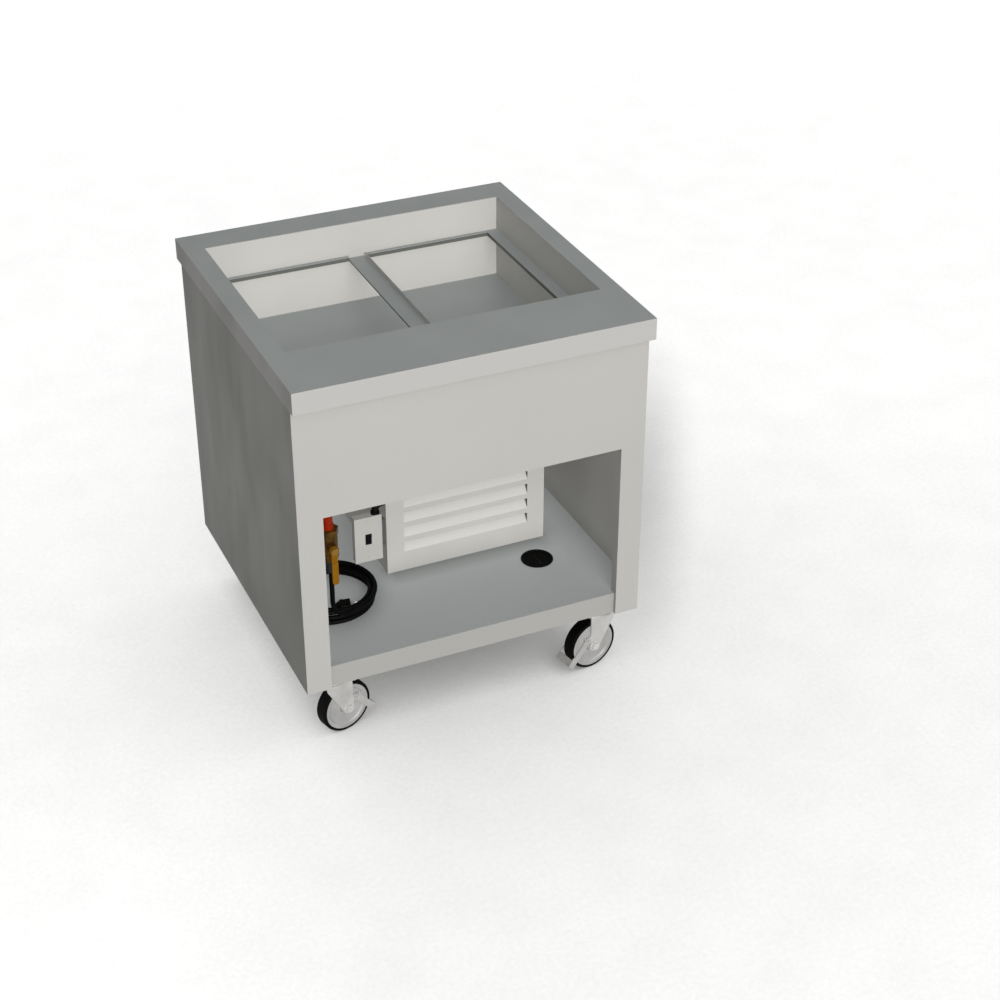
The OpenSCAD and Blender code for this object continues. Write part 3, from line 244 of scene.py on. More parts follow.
def cordPath(route):
    # Lead and coil in one line: the drop's points stand back from the coil's start along its
    # heading, the rise's points above the drop's end, and one last point straight on from the end.
    coil = coilLine(route)
    begin = headingAt(route["start"])
    first = coil[0] - route["straight"] * begin
    last = coil[-1] + route["tail"] * headingAt(route["start"] + route["turn"])
    gap, top = route["gap"], route["glandHeight"]
    drop = np.array([first - (s + gap) * begin + np.array([0, 0, h]) for s, h in route["drop"]])
    foot = first - (route["foot"] + gap) * begin
    rise = np.array([[foot[0] + dx, foot[1], top - deep] for dx, deep in route["rise"]])
    lead = throughPoints(np.concatenate([drop, rise])[::-1], route["leadSteps"])
    return evenly(np.concatenate([lead, coil, last[None]]), route["spacing"]), last


def sideAlong(route, path):
    # Up x travel where the cord lies on the shelf; along the lead, up to a little past its last
    # steep point, one fixed direction, up x the coil's first heading.
    travel = np.gradient(path, axis=0)
    level = np.cross([0.0, 0.0, 1.0], travel)
    steep = np.linalg.norm(level, axis=1) < route["steep"] * np.linalg.norm(travel, axis=1)
    lies = int(np.nonzero(steep)[0].max()) + route["pastSteep"]
    fixed = np.cross([0, 0, 1], headingAt(route["start"]))
    return np.where(np.arange(len(path))[:, None] < lies, fixed[None], level)


path, cordEnd = cordPath(cordRoute)
side = sideAlong(cordRoute, path)
rings = carry(path, side, cordRoute["diameter"] / 2, cordRoute["sides"])
cord = meshPiece("power_cord", *closedTube(rings / 1000))


# Strain relief and gland.
gland = {
    "nutAcross": 24.0,
    "nutTop": 672.0,
    "nutLow": 663.0,
    "domeLow": 11.2,
    "domeGrow": 2.8,
    "domeHeight": 3.0,
    "sleeveLow": 640.0,
    "sleeveThin": 7,
    "sleeveGrow": 3,
    "sleeveInNut": 0.6,
    "ribs": 6,
    "ribDepth": 0.55,
    "nutGrid": (15, 72),
    "sleeveGrid": (61, 32),
}


def glandNut(facts, centre):
    # Hexagon radius R / cos(a mod 60 - 30) cut by a dome that grows with height above the low edge.
    rows, columns = facts["nutGrid"]
    t = np.linspace(0, 1, rows)[:, None]
    z = facts["nutLow"] + (facts["nutTop"] - facts["nutLow"]) * t
    a = np.linspace(0, 2 * np.pi, columns, endpoint=False)[None, :]
    hexagon = facts["nutAcross"] / 2 / np.cos((a % (np.pi / 3)) - np.pi / 6)
    rise = np.clip((z - facts["nutLow"]) / facts["domeHeight"], 0, 1)
    dome = facts["domeLow"] + facts["domeGrow"] * np.sqrt(rise)
    return upright(centre, np.minimum(hexagon, dome), a, z)


def reliefSleeve(facts, centre):
    # Cone, thin below, with shallow ribs: r = thin + grow * t - depth * sin^2(ribs * pi * t).
    rows, columns = facts["sleeveGrid"]
    t = np.linspace(0, 1, rows)[:, None]
    z = facts["sleeveLow"] + (facts["nutLow"] + facts["sleeveInNut"] - facts["sleeveLow"]) * t
    a = np.linspace(0, 2 * np.pi, columns, endpoint=False)[None, :]
    rib = facts["ribDepth"] * np.sin(facts["ribs"] * np.pi * t) ** 2
    r = facts["sleeveThin"] + facts["sleeveGrow"] * t - rib
    return upright(centre, r, a, z)


glandShells = [glandNut(gland, path[0]), reliefSleeve(gland, path[0])]
glandPiece = meshPiece("gland_and_relief", *joinShells(glandShells))


# Plug: lengths along it, half sizes across it, superellipse powers, rings and sides of its shells.
plug = {
    "boot": 16.0,
    "length": 42.0,
    "width": 34.0,
    "thick": 24.0,
    "shelf": 208.0,
    "clear": 0.2,
    "bootStart": (5.7, 5.6),
    "bootEnd": (12.3, 10.2),
    "bootPower": (2, 3.6),
    "bodyPower": 4.8,
    "bootRings": 25,
    "ribs": 5,
    "ribDepth": 0.45,
    "bodyRings": 27,
    "swellOver": 0.16,
    "swellCurve": 0.6,
    "waist": 2.6,
    "edge": 1.4,
    "edgeFrom": 0.94,
    "bodySides": 56,
    "inBody": 1,
    "bladeOut": 17.0,
    "bladeApart": 6.35,
    "bladeHalf": 3.2,
    "bladeThin": 0.75,
    "bladePower": 8,
    "bladeSides": 32,
    "earthUp": 8,
    "earthProfile": [(0, 2.4), (15.6, 2.4), (17.2, 2.2), (18.4, 1.6), (19, 0.7)],
    "earthSides": 24,
}


def plugBoot(facts, rise):
    # Stations from the cord's round section to the body's start, start + (end - start) * (3t^2 -
    # 2t^3), less shallow ribs that die out, depth * sin^2(ribs * pi * t) * (1 - t).
    (w0, h0), (w1, h1), (n0, n1) = facts["bootStart"], facts["bootEnd"], facts["bootPower"]
    stations = []
    for t in np.linspace(0, 1, facts["bootRings"]):
        grow = t * t * (3 - 2 * t)
        rib = facts["ribDepth"] * math.sin(facts["ribs"] * math.pi * t) ** 2 * (1 - t)
        w = w0 + (w1 - w0) * grow - rib
        h = h0 + (h1 - h0) * grow - rib
        stations.append((facts["boot"] * t, w, h, n0 + (n1 - n0) * grow, rise * grow))
    return stations


def plugBody(facts, rise):
    # Rounded oblong that swells from the boot's end and is waisted for the fingers, half width =
    # w / 2 - waist * sin^2 along its length, with a quarter ellipse taken off its far edge.
    (w0, h0), n0 = facts["bootEnd"], facts["bootPower"][1]
    long = facts["length"] - facts["boot"]
    stations = []
    for t in np.linspace(0, 1, facts["bodyRings"])[1:]:
        swell = min(1.0, t / facts["swellOver"]) ** facts["swellCurve"]
        edge = max(0.0, (t - facts["edgeFrom"]) / (1 - facts["edgeFrom"]))
        inset = facts["edge"] * (1 - math.sqrt(max(0.0, 1 - edge * edge)))
        waist = facts["waist"] * math.sin(math.pi * t) ** 2 * swell
        w = w0 + (facts["width"] / 2 - w0) * swell - waist - inset
        h = h0 + (facts["thick"] / 2 - h0) * swell - inset
        power = n0 + (facts["bodyPower"] - n0) * swell
        stations.append((facts["boot"] + long * t, w, h, power, rise))
    return stations


def plugPins(facts, end, axes, rise):
    # Two thin oblong blades and a round earth pin above them, each drawn in at its tip.
    foot = facts["length"] - facts["inBody"]
    tip, half, thin = foot + facts["bladeOut"], facts["bladeHalf"], facts["bladeThin"]
    cut = [(foot, thin, half), (tip - 2, thin, half), (tip - 0.6, thin - 0.05, half - 0.5),
           (tip, thin - 0.3, half - 1)]
    blade = [(x, w, h, facts["bladePower"], rise) for x, w, h in cut]
    pins = []
    for s in (-1, 1):
        beside = (end + s * facts["bladeApart"] * axes[1], axes)
        pins.append(closedTube(loftAlong(blade, beside, facts["bladeSides"]) / 1000))
    above = (end + (rise + facts["earthUp"]) * axes[2], axes)
    profile = [(foot + x, r) for x, r in facts["earthProfile"]]
    pins.append(closedTube(turned(profile, above, facts["earthSides"]) / 1000))
    return joinShells(pins)


def plugShells(facts, end, route):
    # The plug lies flat on the shelf and points on from the cord's end; its middle rises from the
    # cord's height to the shelf + half its thickness.
    a = np.radians(route["start"] + route["turn"] + 90)
    axes = np.array([[np.cos(a), np.sin(a), 0], [-np.sin(a), np.cos(a), 0], [0, 0, 1.0]])
    rise = facts["shelf"] + facts["thick"] / 2 + facts["clear"] - end[2]
    stations = plugBoot(facts, rise) + plugBody(facts, rise)
    body = closedTube(loftAlong(stations, (end, axes), facts["bodySides"]) / 1000)
    return body, plugPins(facts, end, axes, rise)


bodyShell, pinShell = plugShells(plug, cordEnd, cordRoute)
plugPiece = meshPiece("plug_body", *bodyShell)
pinPiece = meshPiece("plug_pins", *pinShell)
print("plug and gland made")

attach(cord, "cabinet")
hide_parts("cord_lead", "cord_coil")
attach(glandPiece, "cabinet")
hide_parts("cord_gland")
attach(plugPiece, "cabinet")
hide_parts("cord_plug")
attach(pinPiece, "cabinet")


# Material building blocks.
def linear(rgb):
    # Picture value 0..255 to linear light, by the sRGB curve.
    c = np.asarray(rgb, float) / 255
    c = np.where(c <= 0.04045, c / 12.92, ((c + 0.055) / 1.055) ** 2.4)
    return (*map(float, c), 1.0)


def scaled(rgb, factor):
    # Picture value times a factor, held at 255.
    return tuple(min(255.0, v * factor) for v in rgb)


def put(tree, kind, sockets, **settings):
    # One shader node; a socket's value is a number, a colour or another node's output.
    made = tree.nodes.new("ShaderNode" + kind)
    for key, value in settings.items():
        setattr(made, key, value)
    for key, value in sockets.items():
        if isinstance(value, bpy.types.NodeSocket):
            tree.links.new(value, made.inputs[key])
        else:
            made.inputs[key].default_value = value
    return made


def place(tree, stretch=(1, 1, 1)):
    # The object's own coordinates, stretched along each axis.
    own = put(tree, "TexCoord", {}).outputs["Object"]
    if stretch == (1, 1, 1):
        return own
    return put(tree, "Mapping", {"Vector": own, "Scale": stretch}).outputs["Vector"]


def coordinate(tree, where, axis):
    # One coordinate of a place or a direction.
    return put(tree, "SeparateXYZ", {"Vector": where}).outputs[axis]


def cloud(tree, where, scale, detail=4.0, rough=0.55):
    # Soft noise from 0 to 1, scale waves to the metre.
    sockets = {"Vector": where, "Scale": scale, "Detail": detail, "Roughness": rough}
    return put(tree, "TexNoise", sockets).outputs["Fac"]


def cells(tree, where, scale, output="Distance"):
    # Patches round scattered points: the distance to the nearest point, or that point's own colour.
    return put(tree, "TexVoronoi", {"Vector": where, "Scale": scale}, feature="F1").outputs[output]


def openness(tree, reach, samples):
    # Share of the half sphere above a point that is free of surfaces within reach.
    return put(tree, "AmbientOcclusion", {"Distance": reach}, samples=samples).outputs["AO"]


def spread(tree, value, low, high, toLow, toHigh, **settings):
    # Map of low..high to toLow..toHigh, held at the ends; straight where no setting bends it.
    sockets = {"Value": value, "From Min": low, "From Max": high, "To Min": toLow, "To Max": toHigh}
    return put(tree, "MapRange", sockets, **settings).outputs["Result"]


def maths(tree, a, b, operation="ADD"):
    # Sum of two values, or another operation on them.
    return put(tree, "Math", {0: a, 1: b}, operation=operation).outputs[0]


def between(tree, factor, first, second):
    # Colour mixed from first to second by factor.
    return put(tree, "Mix", {0: factor, 6: first, 7: second}, data_type="RGBA").outputs[2]


def dimmed(tree, colour, factor):
    # Colour times a factor.
    if not isinstance(colour, bpy.types.NodeSocket):
        colour = colour[:3]
    return put(tree, "VectorMath", {0: colour, "Scale": factor}, operation="SCALE").outputs[0]


def product(tree, *values):
    # All the values multiplied together.
    whole = values[0]
    for value in values[1:]:
        whole = maths(tree, whole, value, "MULTIPLY")
    return whole


def weighed(tree, first, share, second):
    # A share of the first value and the rest of the second.
    return maths(tree, product(tree, first, share), product(tree, second, 1 - share))


def weave(tree, pattern, low, high):
    # The middle stretch of a noise, 0.3 to 0.7, drawn out to low..high.
    return spread(tree, pattern, 0.3, 0.7, low, high)


def shades(tree, pattern, look, low, high):
    # The finish's colour, from low to high times its value, as the pattern goes from dark to light.
    light, dark = (linear(scaled(look["colour"], factor)) for factor in (high, low))
    return between(tree, weave(tree, pattern, 0, 1), dark, light)


def glossOf(tree, pattern, look, below, above):
    # Roughness that follows the pattern, from a little below the finish's value to a little above.
    return weave(tree, pattern, look["rough"] - below, look["rough"] + above)


def relief(tree, height, millimetres, strength=1.0, under=None):
    # Bent normal from a height of so many millimetres, on top of another one if it is given.
    sockets = {"Height": height, "Distance": millimetres / 1000, "Strength": strength}
    if under is not None:
        sockets["Normal"] = under
    return put(tree, "Bump", sockets).outputs["Normal"]


def newFinish(name, look):
    # A principled shader with its constant values on its own sockets.
    material = bpy.data.materials.new(name)
    material.use_nodes = True
    tree = material.node_tree
    tree.nodes.clear()
    base = {"Metallic": look.get("metal", 0.0), "Roughness": look["rough"]}
    shader = put(tree, "BsdfPrincipled", base)
    shader.inputs["Specular IOR Level"].default_value = look.get("specular", 0.5)
    if "coat" in look:
        shader.inputs["Coat Weight"].default_value = look["coat"]
        shader.inputs["Coat Roughness"].default_value = look.get("coatRough", 0.15)
    put(tree, "OutputMaterial", {"Surface": shader.outputs[0]})
    return material, tree, shader


def dress(tree, shader, colour, rough, normal):
    # Joins the given outputs to the shader's sockets.
    for key, value in (("Base Color", colour), ("Roughness", rough), ("Normal", normal)):
        if value is not None:
            tree.links.new(value, shader.inputs[key])


# Finishes.
def lying(tree, low=0.45, high=0.9):
    # 1 where the surface faces up, 0 where it stands, by its own normal; a mask for painted
    # shading.
    own = put(tree, "TexCoord", {}).outputs["Normal"]
    return spread(tree, coordinate(tree, own, "Z"), low, high, 0, 1)


def lips(height, edge=(0.0008, 0.0002)):
    # Mask for painted shade on turned-down edges: 1 below the given height in metres, 0 on the
    # sheet above it.
    def mask(tree, own):
        z = coordinate(tree, own, "Z")
        return spread(tree, z, height - edge[0], height - edge[1], 1, 0)
    return mask


def outside(half, edge=(0.0006, 0.0002)):
    # Mask for painted shade on a side wall's outer face: 1 beyond the given distance from the
    # middle, 0 within.
    def mask(tree, own):
        far = put(tree, "Math", {0: coordinate(tree, own, "X")}, operation="ABSOLUTE").outputs[0]
        return spread(tree, far, half - edge[0], half - edge[1], 0, 1)
    return mask


def footShadowMask(box, reach, soft=0.015, under=(0.02, 0.03)):
    # Mask for a painted shadow on the sheet in front of a box that stands on it: 0 at the reach, 1
    # at the box's foot, soft at the box's two sides, and 0 again under the box.
    def mask(tree, own):
        x, y = coordinate(tree, own, "X"), coordinate(tree, own, "Y")
        left, front, right = box[0][0], box[0][1], box[1][0]
        near = spread(tree, y, front - reach, front, 0, 1)
        begins = spread(tree, x, left - soft, left + soft, 0, 1)
        ends = spread(tree, x, right - soft, right + soft, 1, 0)
        before = spread(tree, y, front + under[0], front + under[1], 1, 0)
        return product(tree, near, begins, ends, before)
    return mask


def corners(tree, reach, low):
    # Painted shade in the corners: 1 in the open, falling to low where other surfaces stand close.
    return spread(tree, openness(tree, reach, 6), 0.35, 1.0, low, 1.0)


def satinSheet(name, look):
    # Rolled and brushed sheet: fine lines along the grain, slow clouds, faint wiping marks in the
    # gloss, a cooler tone painted where it lies flat for how the light falls there, and painted
    # shade, a duller tone, in its corners.
    material, tree, shader = newFinish(name, look)
    own = place(tree)
    lines = cloud(tree, place(tree, look["grain"]), 1.0, 3.0, 0.6)
    slow = cloud(tree, own, 3.1, 3.0)
    wipes = cloud(tree, place(tree, (9, 9, 3.5)), 1.0, 5.0, 0.65)
    tone = weighed(tree, slow, 0.55, lines)
    depth = look.get("depth", 0.012)
    colour = linear(look["colour"])
    # Painted shading: faces that lie flat get a colour of their own for the light that falls on
    # them.
    if "paintedUpShading" in look:
        colour = between(tree, lying(tree), colour, linear(look["paintedUpShading"]))
    # Painted shade: the given darker colour where the mask is 1.
    if "face" in look:
        colour = between(tree, look["face"](tree, own), colour, linear(look["faceColour"]))
    shade = weave(tree, tone, 1 - 2 * depth, 1 + 2 * depth)
    # Painted shade: the colour darkens where other surfaces stand close.
    if "corner" in look:
        shade = product(tree, shade, corners(tree, *look["corner"]))
    colour = dimmed(tree, colour, shade)
    rough = spread(tree, wipes, 0.3, 0.72, look["rough"] - 0.06, look["rough"] + 0.09)
    dress(tree, shader, colour, rough, relief(tree, lines, 0.02, 0.4, relief(tree, slow, 0.6, 0.1)))
    return material


def spangledSheet(name, look):
    # Zinc-dipped sheet: flat crystal patches of slightly different grey and gloss.
    material, tree, shader = newFinish(name, look)
    own = place(tree)
    crystal = cells(tree, own, look.get("cells", 70.0), output="Color")
    grey = put(tree, "SeparateColor", {"Color": crystal}).outputs[0]
    slow = cloud(tree, own, 5.0, 4.0)
    dark, light = (linear(scaled(look["colour"], factor)) for factor in (0.93, 1.06))
    colour = between(tree, weighed(tree, grey, 0.6, slow), dark, light)
    rough = spread(tree, grey, 0, 1, look["rough"] - 0.06, look["rough"] + 0.06)
    dress(tree, shader, colour, rough, relief(tree, slow, 0.2, 0.3))
    return material


def plated(name, look):
    # Plated or turned metal: small pits and a slow change of tone.
    material, tree, shader = newFinish(name, look)
    own = place(tree)
    slow = cloud(tree, own, 24.0, 5.0)
    fine = cloud(tree, own, 900.0, 2.0)
    colour = shades(tree, slow, look, 0.93, 1.05)
    rough = glossOf(tree, slow, look, 0.05, 0.08)
    dress(tree, shader, colour, rough, relief(tree, fine, 0.03, 0.5))
    return material


def castMetal(name, look):
    # Sand-cast body: grainy skin, darker tarnish in blotches.
    material, tree, shader = newFinish(name, look)
    own = place(tree)
    skin = cloud(tree, own, 420.0, 4.0, 0.6)
    blotch = cloud(tree, own, 45.0, 5.0, 0.65)
    worn = spread(tree, blotch, 0.38, 0.66, 0, 1)
    colour = between(tree, worn, linear(look["colour"]), linear(look["tarnish"]))
    rough = spread(tree, blotch, 0.35, 0.7, look["rough"] - 0.1, look["rough"] + 0.15)
    dress(tree, shader, colour, rough, relief(tree, skin, 0.12, 0.7))
    return material


def powderCoat(name, look):
    # Baked paint: orange-peel skin, a very slow change of tone; a painted sheen makes blades that
    # lean back lighter.
    material, tree, shader = newFinish(name, look)
    own = place(tree)
    peel = cloud(tree, own, look.get("peel", 420.0), 2.0, 0.5)
    slow = cloud(tree, own, 4.0, 3.0)
    colour = shades(tree, slow, look, 0.975, 1.02)
    # Painted sheen: faces that lean back get a lighter colour in place of their gloss highlight.
    if "blade" in look:
        colour = between(tree, lying(tree, 0.3, 0.6), colour, linear(look["blade"]))
    # Painted shade: the colour darkens where other surfaces stand close.
    if "corner" in look:
        colour = dimmed(tree, colour, corners(tree, *look["corner"]))
    rough = glossOf(tree, peel, look, 0.04, 0.05)
    dress(tree, shader, colour, rough, relief(tree, peel, 0.05, 0.6))
    return material


def mouldedPlastic(name, look):
    # Moulded surface: fine spark-eroded grain and faint flow clouds.
    material, tree, shader = newFinish(name, look)
    own = place(tree)
    grain = cloud(tree, own, look.get("grain", 1400.0), 2.0, 0.5)
    flow = cloud(tree, own, 30.0, 4.0)
    colour = shades(tree, flow, look, 0.94, 1.06)
    rough = glossOf(tree, flow, look, 0.05, 0.07)
    dress(tree, shader, colour, rough, relief(tree, grain, 0.03, 0.5))
    return material


def rubberSkin(name, look):
    # Rubber: matte, with a dusty bloom in patches and a fine skin.
    material, tree, shader = newFinish(name, look)
    own = place(tree)
    dust = cloud(tree, own, look.get("dust", 38.0), 6.0, 0.65)
    skin = cloud(tree, own, 800.0, 3.0)
    dusty = spread(tree, dust, 0.48, 0.8, 0, 1)
    colour = between(tree, dusty, linear(look["colour"]), linear(look["bloom"]))
    rough = glossOf(tree, dust, look, 0.06, 0.1)
    dress(tree, shader, colour, rough, relief(tree, skin, 0.05, 0.6))
    return material


def foamBoard(name, look):
    # Cut foam: small closed cells with raised walls, and yellowing patches.
    material, tree, shader = newFinish(name, look)
    own = place(tree)
    cell = cells(tree, own, 420.0)
    patch = cloud(tree, own, 9.0, 4.0)
    colour = between(tree, weave(tree, patch, 0, 1), linear(look["colour"]), linear(look["aged"]))
    dress(tree, shader, colour, None, relief(tree, cell, 0.5, 0.8))
    return material


# Each finish: which recipe, its colour as seen in plain light, its gloss and its own details, among
# them painted shading for flat faces and corners.
alongX, alongZ = (5.0, 620.0, 620.0), (620.0, 620.0, 5.0)
finishes = {
    "top_steel": (satinSheet, {
        "colour": (197, 196, 195), "paintedUpShading": (187, 193, 192), "metal": 0.06, "rough": 0.5,
        "specular": 0.25, "grain": alongX, "corner": (0.06, 0.8),
    }),
    "liner_steel": (satinSheet, {
        "colour": (211, 210, 207), "paintedUpShading": (178, 184, 185), "metal": 0.06, "rough": 0.48,
        "specular": 0.25, "grain": alongX, "corner": (0.12, 0.8),
    }),
    "panel_steel": (satinSheet, {
        "colour": (196, 195, 193), "paintedUpShading": (190, 193, 193), "metal": 0.06, "rough": 0.5,
        "specular": 0.25, "grain": alongZ, "corner": (0.06, 0.8),
    }),
    "shelf_steel": (satinSheet, {
        "colour": (180, 180, 178), "paintedUpShading": (195, 200, 202), "metal": 0.06, "rough": 0.5,
        "specular": 0.25, "grain": alongX, "corner": (0.05, 0.78),
    }),
    "casing_steel": (spangledSheet, {"colour": (178, 180, 180), "metal": 0.35, "rough": 0.48}),
    "rail_steel": (spangledSheet, {
        "colour": (160, 161, 160), "metal": 0.35, "rough": 0.5, "cells": 90.0,
    }),
    "zinc_steel": (plated, {"colour": (199, 198, 196), "metal": 0.25, "rough": 0.4}),
    "screw_steel": (plated, {"colour": (214, 214, 213), "metal": 0.6, "rough": 0.28}),
    "foam": (foamBoard, {"colour": (240, 228, 184), "aged": (224, 204, 146), "rough": 0.9}),
    "copper": (castMetal, {
        "colour": (190, 116, 80), "tarnish": (128, 74, 50), "metal": 0.85, "rough": 0.34,
    }),
    "brass": (castMetal, {
        "colour": (94, 65, 7), "tarnish": (40, 24, 3), "metal": 0.35, "rough": 0.5,
        "specular": 0.25,
    }),
    "valve_chrome": (plated, {"colour": (134, 100, 30), "metal": 0.5, "rough": 0.42}),
    "red_pipe": (powderCoat, {
        "colour": (141, 31, 4), "rough": 0.42, "peel": 260.0, "specular": 0.16,
    }),
    "lever_sleeve": (mouldedPlastic, {
        "colour": (131, 88, 3), "rough": 0.5, "grain": 500.0, "specular": 0.16,
    }),
    "spout_plastic": (mouldedPlastic, {"colour": (24, 24, 24), "rough": 0.42}),
    "grommet_rubber": (rubberSkin, {
        "colour": (3, 3, 3), "bloom": (10, 10, 10), "rough": 0.7, "specular": 0.08,
    }),
    "housing_paint": (powderCoat, {"colour": (196, 195, 192), "rough": 0.45}),
    "unit_paint": (powderCoat, {"colour": (108, 111, 113), "rough": 0.42}),
    "compressor_paint": (powderCoat, {"colour": (22, 22, 23), "rough": 0.3, "coat": 0.25}),
    "fin_aluminium": (satinSheet, {
        "colour": (186, 190, 192), "metal": 0.6, "rough": 0.4, "grain": (900.0, 40.0, 40.0),
        "depth": 0.12,
    }),
    "fan_aluminium": (satinSheet, {
        "colour": (182, 186, 188), "metal": 0.6, "rough": 0.38, "grain": (60.0, 60.0, 60.0),
        "depth": 0.05,
    }),
    "switch_paint": (powderCoat, {"colour": (189, 188, 185), "rough": 0.44, "peel": 520.0}),
    "rocker_plastic": (mouldedPlastic, {"colour": (4, 4, 4), "rough": 0.4, "specular": 0.12}),
    "conduit_plastic": (mouldedPlastic, {"colour": (5, 5, 5), "rough": 0.5, "specular": 0.12}),
    "gland_plastic": (mouldedPlastic, {"colour": (14, 14, 14), "rough": 0.45}),
    "cord_jacket": (rubberSkin, {
        "colour": (1, 1, 1), "bloom": (8, 8, 8), "rough": 0.56, "specular": 0.07,
    }),
    "plug_rubber": (rubberSkin, {
        "colour": (1, 1, 1), "bloom": (9, 9, 9), "rough": 0.56, "specular": 0.08,
    }),
    "wheel_plastic": (mouldedPlastic, {"colour": (171, 171, 172), "rough": 0.42, "grain": 900.0}),
    "tread_rubber": (rubberSkin, {
        "colour": (1, 1, 1), "bloom": (11, 11, 10), "rough": 0.66, "specular": 0.07, "dust": 60.0,
    }),
}

missing = sorted(set(slotNames) - set(finishes))
if missing:
    raise SystemExit("no finish for " + ", ".join(missing))
finish = {slot: recipe(slot, look) for slot, (recipe, look) in finishes.items()}

# Pieces that differ from the rest of their slot: painted sheen on the louvres' blades, painted
# shade on edges turned down in the well, a painted shadow on the shelf at the housing's foot,
# painted shade on the side walls' outer faces, the switch's bracket in a dark grey painted for
# shade, and the pedals.
barUpstand = 0.012
# Reach of the painted shadow on the shelf in front of the housing.
footShadowReach = 0.06
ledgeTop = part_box("pan_ledges")[1][2]
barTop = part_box("adapter_bar")[1][2] - barUpstand
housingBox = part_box("condenser_housing")
sideWall = abs(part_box("left_panel")[0][0])
# Painted shade: the side walls' outer faces are coloured darker.
paintedSideShade = {"face": outside(sideWall), "faceColour": (164, 164, 160)}
pedal = {"colour": (188, 187, 186), "metal": 0.15}
special = {
    # Painted sheen: the louvre blades that lean back are coloured lighter.
    "louver_panel": ("housing_paint", {"blade": (214, 214, 211), "corner": (0.05, 0.8)}),
    # Painted shade on the turned-down lips of the ledges and the adapter bar.
    "pan_ledges": ("liner_steel", {"face": lips(ledgeTop), "faceColour": (104, 107, 104)}),
    "adapter_bar": ("liner_steel", {
        "face": lips(barTop), "faceColour": (120, 123, 120), "paintedUpShading": (178, 184, 184),
    }),
    # Painted shadow on the shelf along the housing's foot.
    "bottom_shelf": ("shelf_steel", {
        "face": footShadowMask(housingBox, footShadowReach), "faceColour": (150, 154, 155),
    }),
    "left_panel": ("panel_steel", paintedSideShade),
    "right_panel": ("panel_steel", paintedSideShade),
    # Painted shade: the bracket's dark grey stands in for the shade it sits in.
    "switch_bracket": ("casing_steel", {"colour": (96, 97, 97)}),
    "brake_pedal_fl": ("zinc_steel", pedal),
    "brake_pedal_fr": ("zinc_steel", pedal),
}
ownFinish = {}
for node, (slot, extra) in special.items():
    recipe, look = finishes[slot]
    ownFinish[node] = recipe(slot + "_" + node, {**look, **extra})

for part in frame["record"]["subparts"]:
    material = ownFinish.get(part["node"], finish[part["material_slot"]])
    nodes[part["node"]].data.materials[0] = material
for piece, slot in ((cord, "cord_jacket"), (glandPiece, "gland_plastic"),
                    (plugPiece, "plug_rubber"), (pinPiece, "screw_steel")):
    piece.data.materials.append(finish[slot])
print("finishes:", len(finish))


# Floor, world and lamps.
studio = {
    "floorSize": 40.0,
    "floorWhite": (252, 253, 252),    # as the camera sees it
    "floorMatte": (150, 150, 149),    # what it throws back on the object
    "floorGlow": 0.972,
    "shadowReach": 1.5,
    "shadowCurve": 0.72,
    "under": (0.24, 0.34, 0.6, 1.0),  # extra shade right under the object
    "rightDim": (0.91, 0.985),        # the floor's dimness on the right, in front and behind
    "frontToBack": (-0.8, 0.6),
    "rightFrom": (-0.1, 0.35),        # where it begins, on a line that leans to the left and back
    "lean": 0.6,
    "castMiddle": (0.79, 0.34, 0.0),  # soft shadow thrown to the right and back
    "castHalf": (1.1, 0.19, 1.0),
    "castTurn": 61.0,
    "castDepth": 0.42,
    "fade": (2.5, 8.0, 1.0, 1.14),    # between these distances it grows as white as the background
    "ambient": (0.90, 0.97, 1.0),
    "ambientStrength": 0.01,
    "lampDistance": 14.0,
    "lampColour": (1.0, 0.985, 0.955),
    "lookAt": (0, 0, 0.5),
}
lamps = {
    "keyLamp": {"power": 500.0, "size": 6.0, "azimuth": 5.0, "elevation": 30.0},
    "fillLamp": {"power": 1330.0, "size": 6.0, "azimuth": 5.0, "elevation": 21.0, "shadow": False},
    "backLamp": {
        "power": 620.0, "size": 0.9, "azimuth": 197.0, "elevation": -1.0, "shadow": False,
        "gloss": False,
    },
}


def toTheEye(tree):
    # 1 where a camera, mirror or glass ray looks, 0 for light that falls on the object.
    ray = put(tree, "LightPath", {})
    seen = maths(tree, ray.outputs["Is Camera Ray"], ray.outputs["Is Glossy Ray"], "MAXIMUM")
    return maths(tree, seen, ray.outputs["Is Transmission Ray"], "MAXIMUM")


def castShade(tree, own, facts):
    # Oblong soft shadow: the distance from its middle in a turned and stretched frame, eased from
    # 1 - depth there to 1 at the rim.
    oblong = put(tree, "Mapping", {
        "Vector": own,
        "Location": facts["castMiddle"],
        "Scale": facts["castHalf"],
        "Rotation": (0, 0, math.radians(facts["castTurn"])),
    }, vector_type="TEXTURE").outputs[0]
    away = put(tree, "VectorMath", {0: oblong}, operation="LENGTH").outputs["Value"]
    low = 1 - facts["castDepth"]
    return spread(tree, away, 0.0, 1.0, low, 1.0, interpolation_type="SMOOTHSTEP")


def floorShade(tree, own, facts):
    # How bright the floor shows: the open share of the sky above it to a power, times a dimmer
    # patch right under the object, a dimmer right-hand side, the soft shadow and a rise far away.
    near = openness(tree, facts["shadowReach"], 12)
    soft = maths(tree, near, facts["shadowCurve"], "POWER")
    under = spread(tree, near, *facts["under"])
    x, y = coordinate(tree, own, "X"), coordinate(tree, own, "Y")
    lean = maths(tree, product(tree, y, facts["lean"]), x, "SUBTRACT")
    dim = spread(tree, y, *facts["frontToBack"], *facts["rightDim"])
    side = spread(tree, lean, *facts["rightFrom"], dim, 1.0)
    away = put(tree, "VectorMath", {0: own}, operation="LENGTH").outputs["Value"]
    far = spread(tree, away, *facts["fade"])
    return product(tree, soft, facts["floorGlow"], under, side, castShade(tree, own, facts), far)


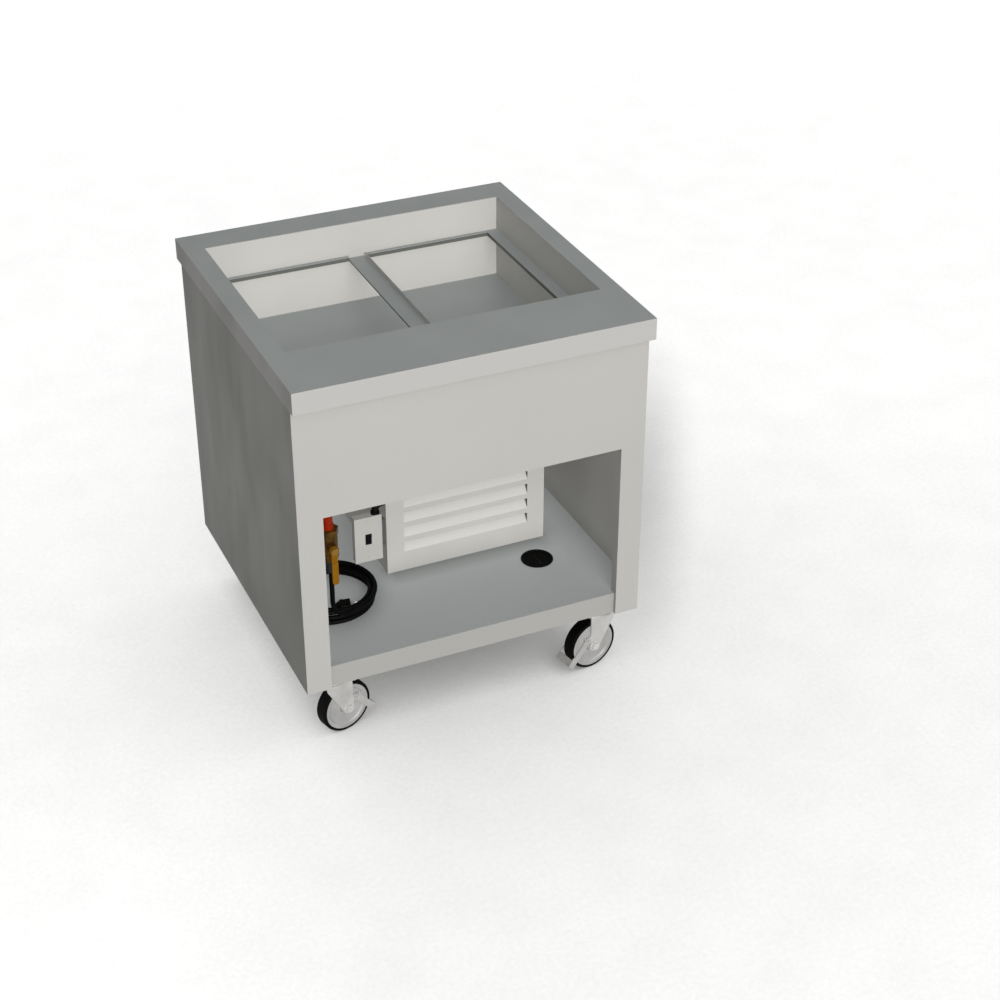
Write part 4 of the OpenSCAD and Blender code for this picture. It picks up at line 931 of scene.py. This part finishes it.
def paleFloor(facts):
    # Square sheet in the plane z = 0. The camera sees a near-white glow that dims where the object
    # stands close by; other rays meet a duller matte sheet, so the floor throws little light back.
    half = facts["floorSize"] / 2
    square = np.array([[-half, -half, 0], [half, -half, 0], [half, half, 0], [-half, half, 0]])
    made = meshPiece("pale_floor", square, [[0, 1, 2, 3]], smooth=False)
    material = bpy.data.materials.new("pale_floor")
    material.use_nodes = True
    tree = material.node_tree
    tree.nodes.clear()
    own = place(tree)
    tone = weighed(tree, cloud(tree, own, 90.0, 6.0, 0.8), 0.75, cloud(tree, own, 6.0, 3.0))
    dark, light = (linear(scaled(facts["floorWhite"], factor)) for factor in (0.955, 1.01))
    speck = between(tree, spread(tree, tone, 0.35, 0.62, 0, 1), dark, light)
    glow = put(tree, "Emission", {"Color": speck, "Strength": floorShade(tree, own, facts)})
    lit = put(tree, "BsdfDiffuse", {"Color": linear(facts["floorMatte"])})
    seen = put(tree, "AddShader", {0: glow.outputs[0], 1: lit.outputs[0]})
    both = put(tree, "MixShader", {0: toTheEye(tree), 1: lit.outputs[0], 2: seen.outputs[0]})
    put(tree, "OutputMaterial", {"Surface": both.outputs[0]})
    made.data.materials.append(material)


def plainWorld(facts):
    # White where the camera, a mirror or glass looks, a faint light for what falls on the object.
    world = bpy.data.worlds.new("plainWorld")
    world.use_nodes = True
    tree = world.node_tree
    tree.nodes.clear()
    faint = {"Color": (*facts["ambient"], 1), "Strength": facts["ambientStrength"]}
    dim = put(tree, "Background", faint)
    white = put(tree, "Background", {"Color": (1, 1, 1, 1), "Strength": 1.0})
    mixed = put(tree, "MixShader", {0: toTheEye(tree), 1: dim.outputs[0], 2: white.outputs[0]})
    put(tree, "OutputWorld", {"Surface": mixed.outputs[0]})
    bpy.context.scene.world = world


def lamp(name, facts, studio):
    # A square lamp that looks at the object's middle from azimuth degrees to the left of the front.
    a, e = math.radians(facts["azimuth"]), math.radians(facts["elevation"])
    back = Vector((-math.sin(a) * math.cos(e), -math.cos(a) * math.cos(e), math.sin(e)))
    data = bpy.data.lights.new(name, "AREA")
    data.shape, data.size, data.energy = "SQUARE", facts["size"], facts["power"]
    data.color = studio["lampColour"]
    data.use_shadow = facts.get("shadow", True)
    made = bpy.data.objects.new(name, data)
    stands = Matrix.Translation(Vector(studio["lookAt"]) + back * studio["lampDistance"])
    made.matrix_world = stands @ back.to_track_quat("Z", "Y").to_matrix().to_4x4()
    made.visible_glossy = facts.get("gloss", True)
    bpy.context.scene.collection.objects.link(made)


paleFloor(studio)
plainWorld(studio)
for name, facts in lamps.items():
    lamp(name, facts, studio)
bpy.context.scene.view_settings.view_transform = "Standard"
print("studio set")
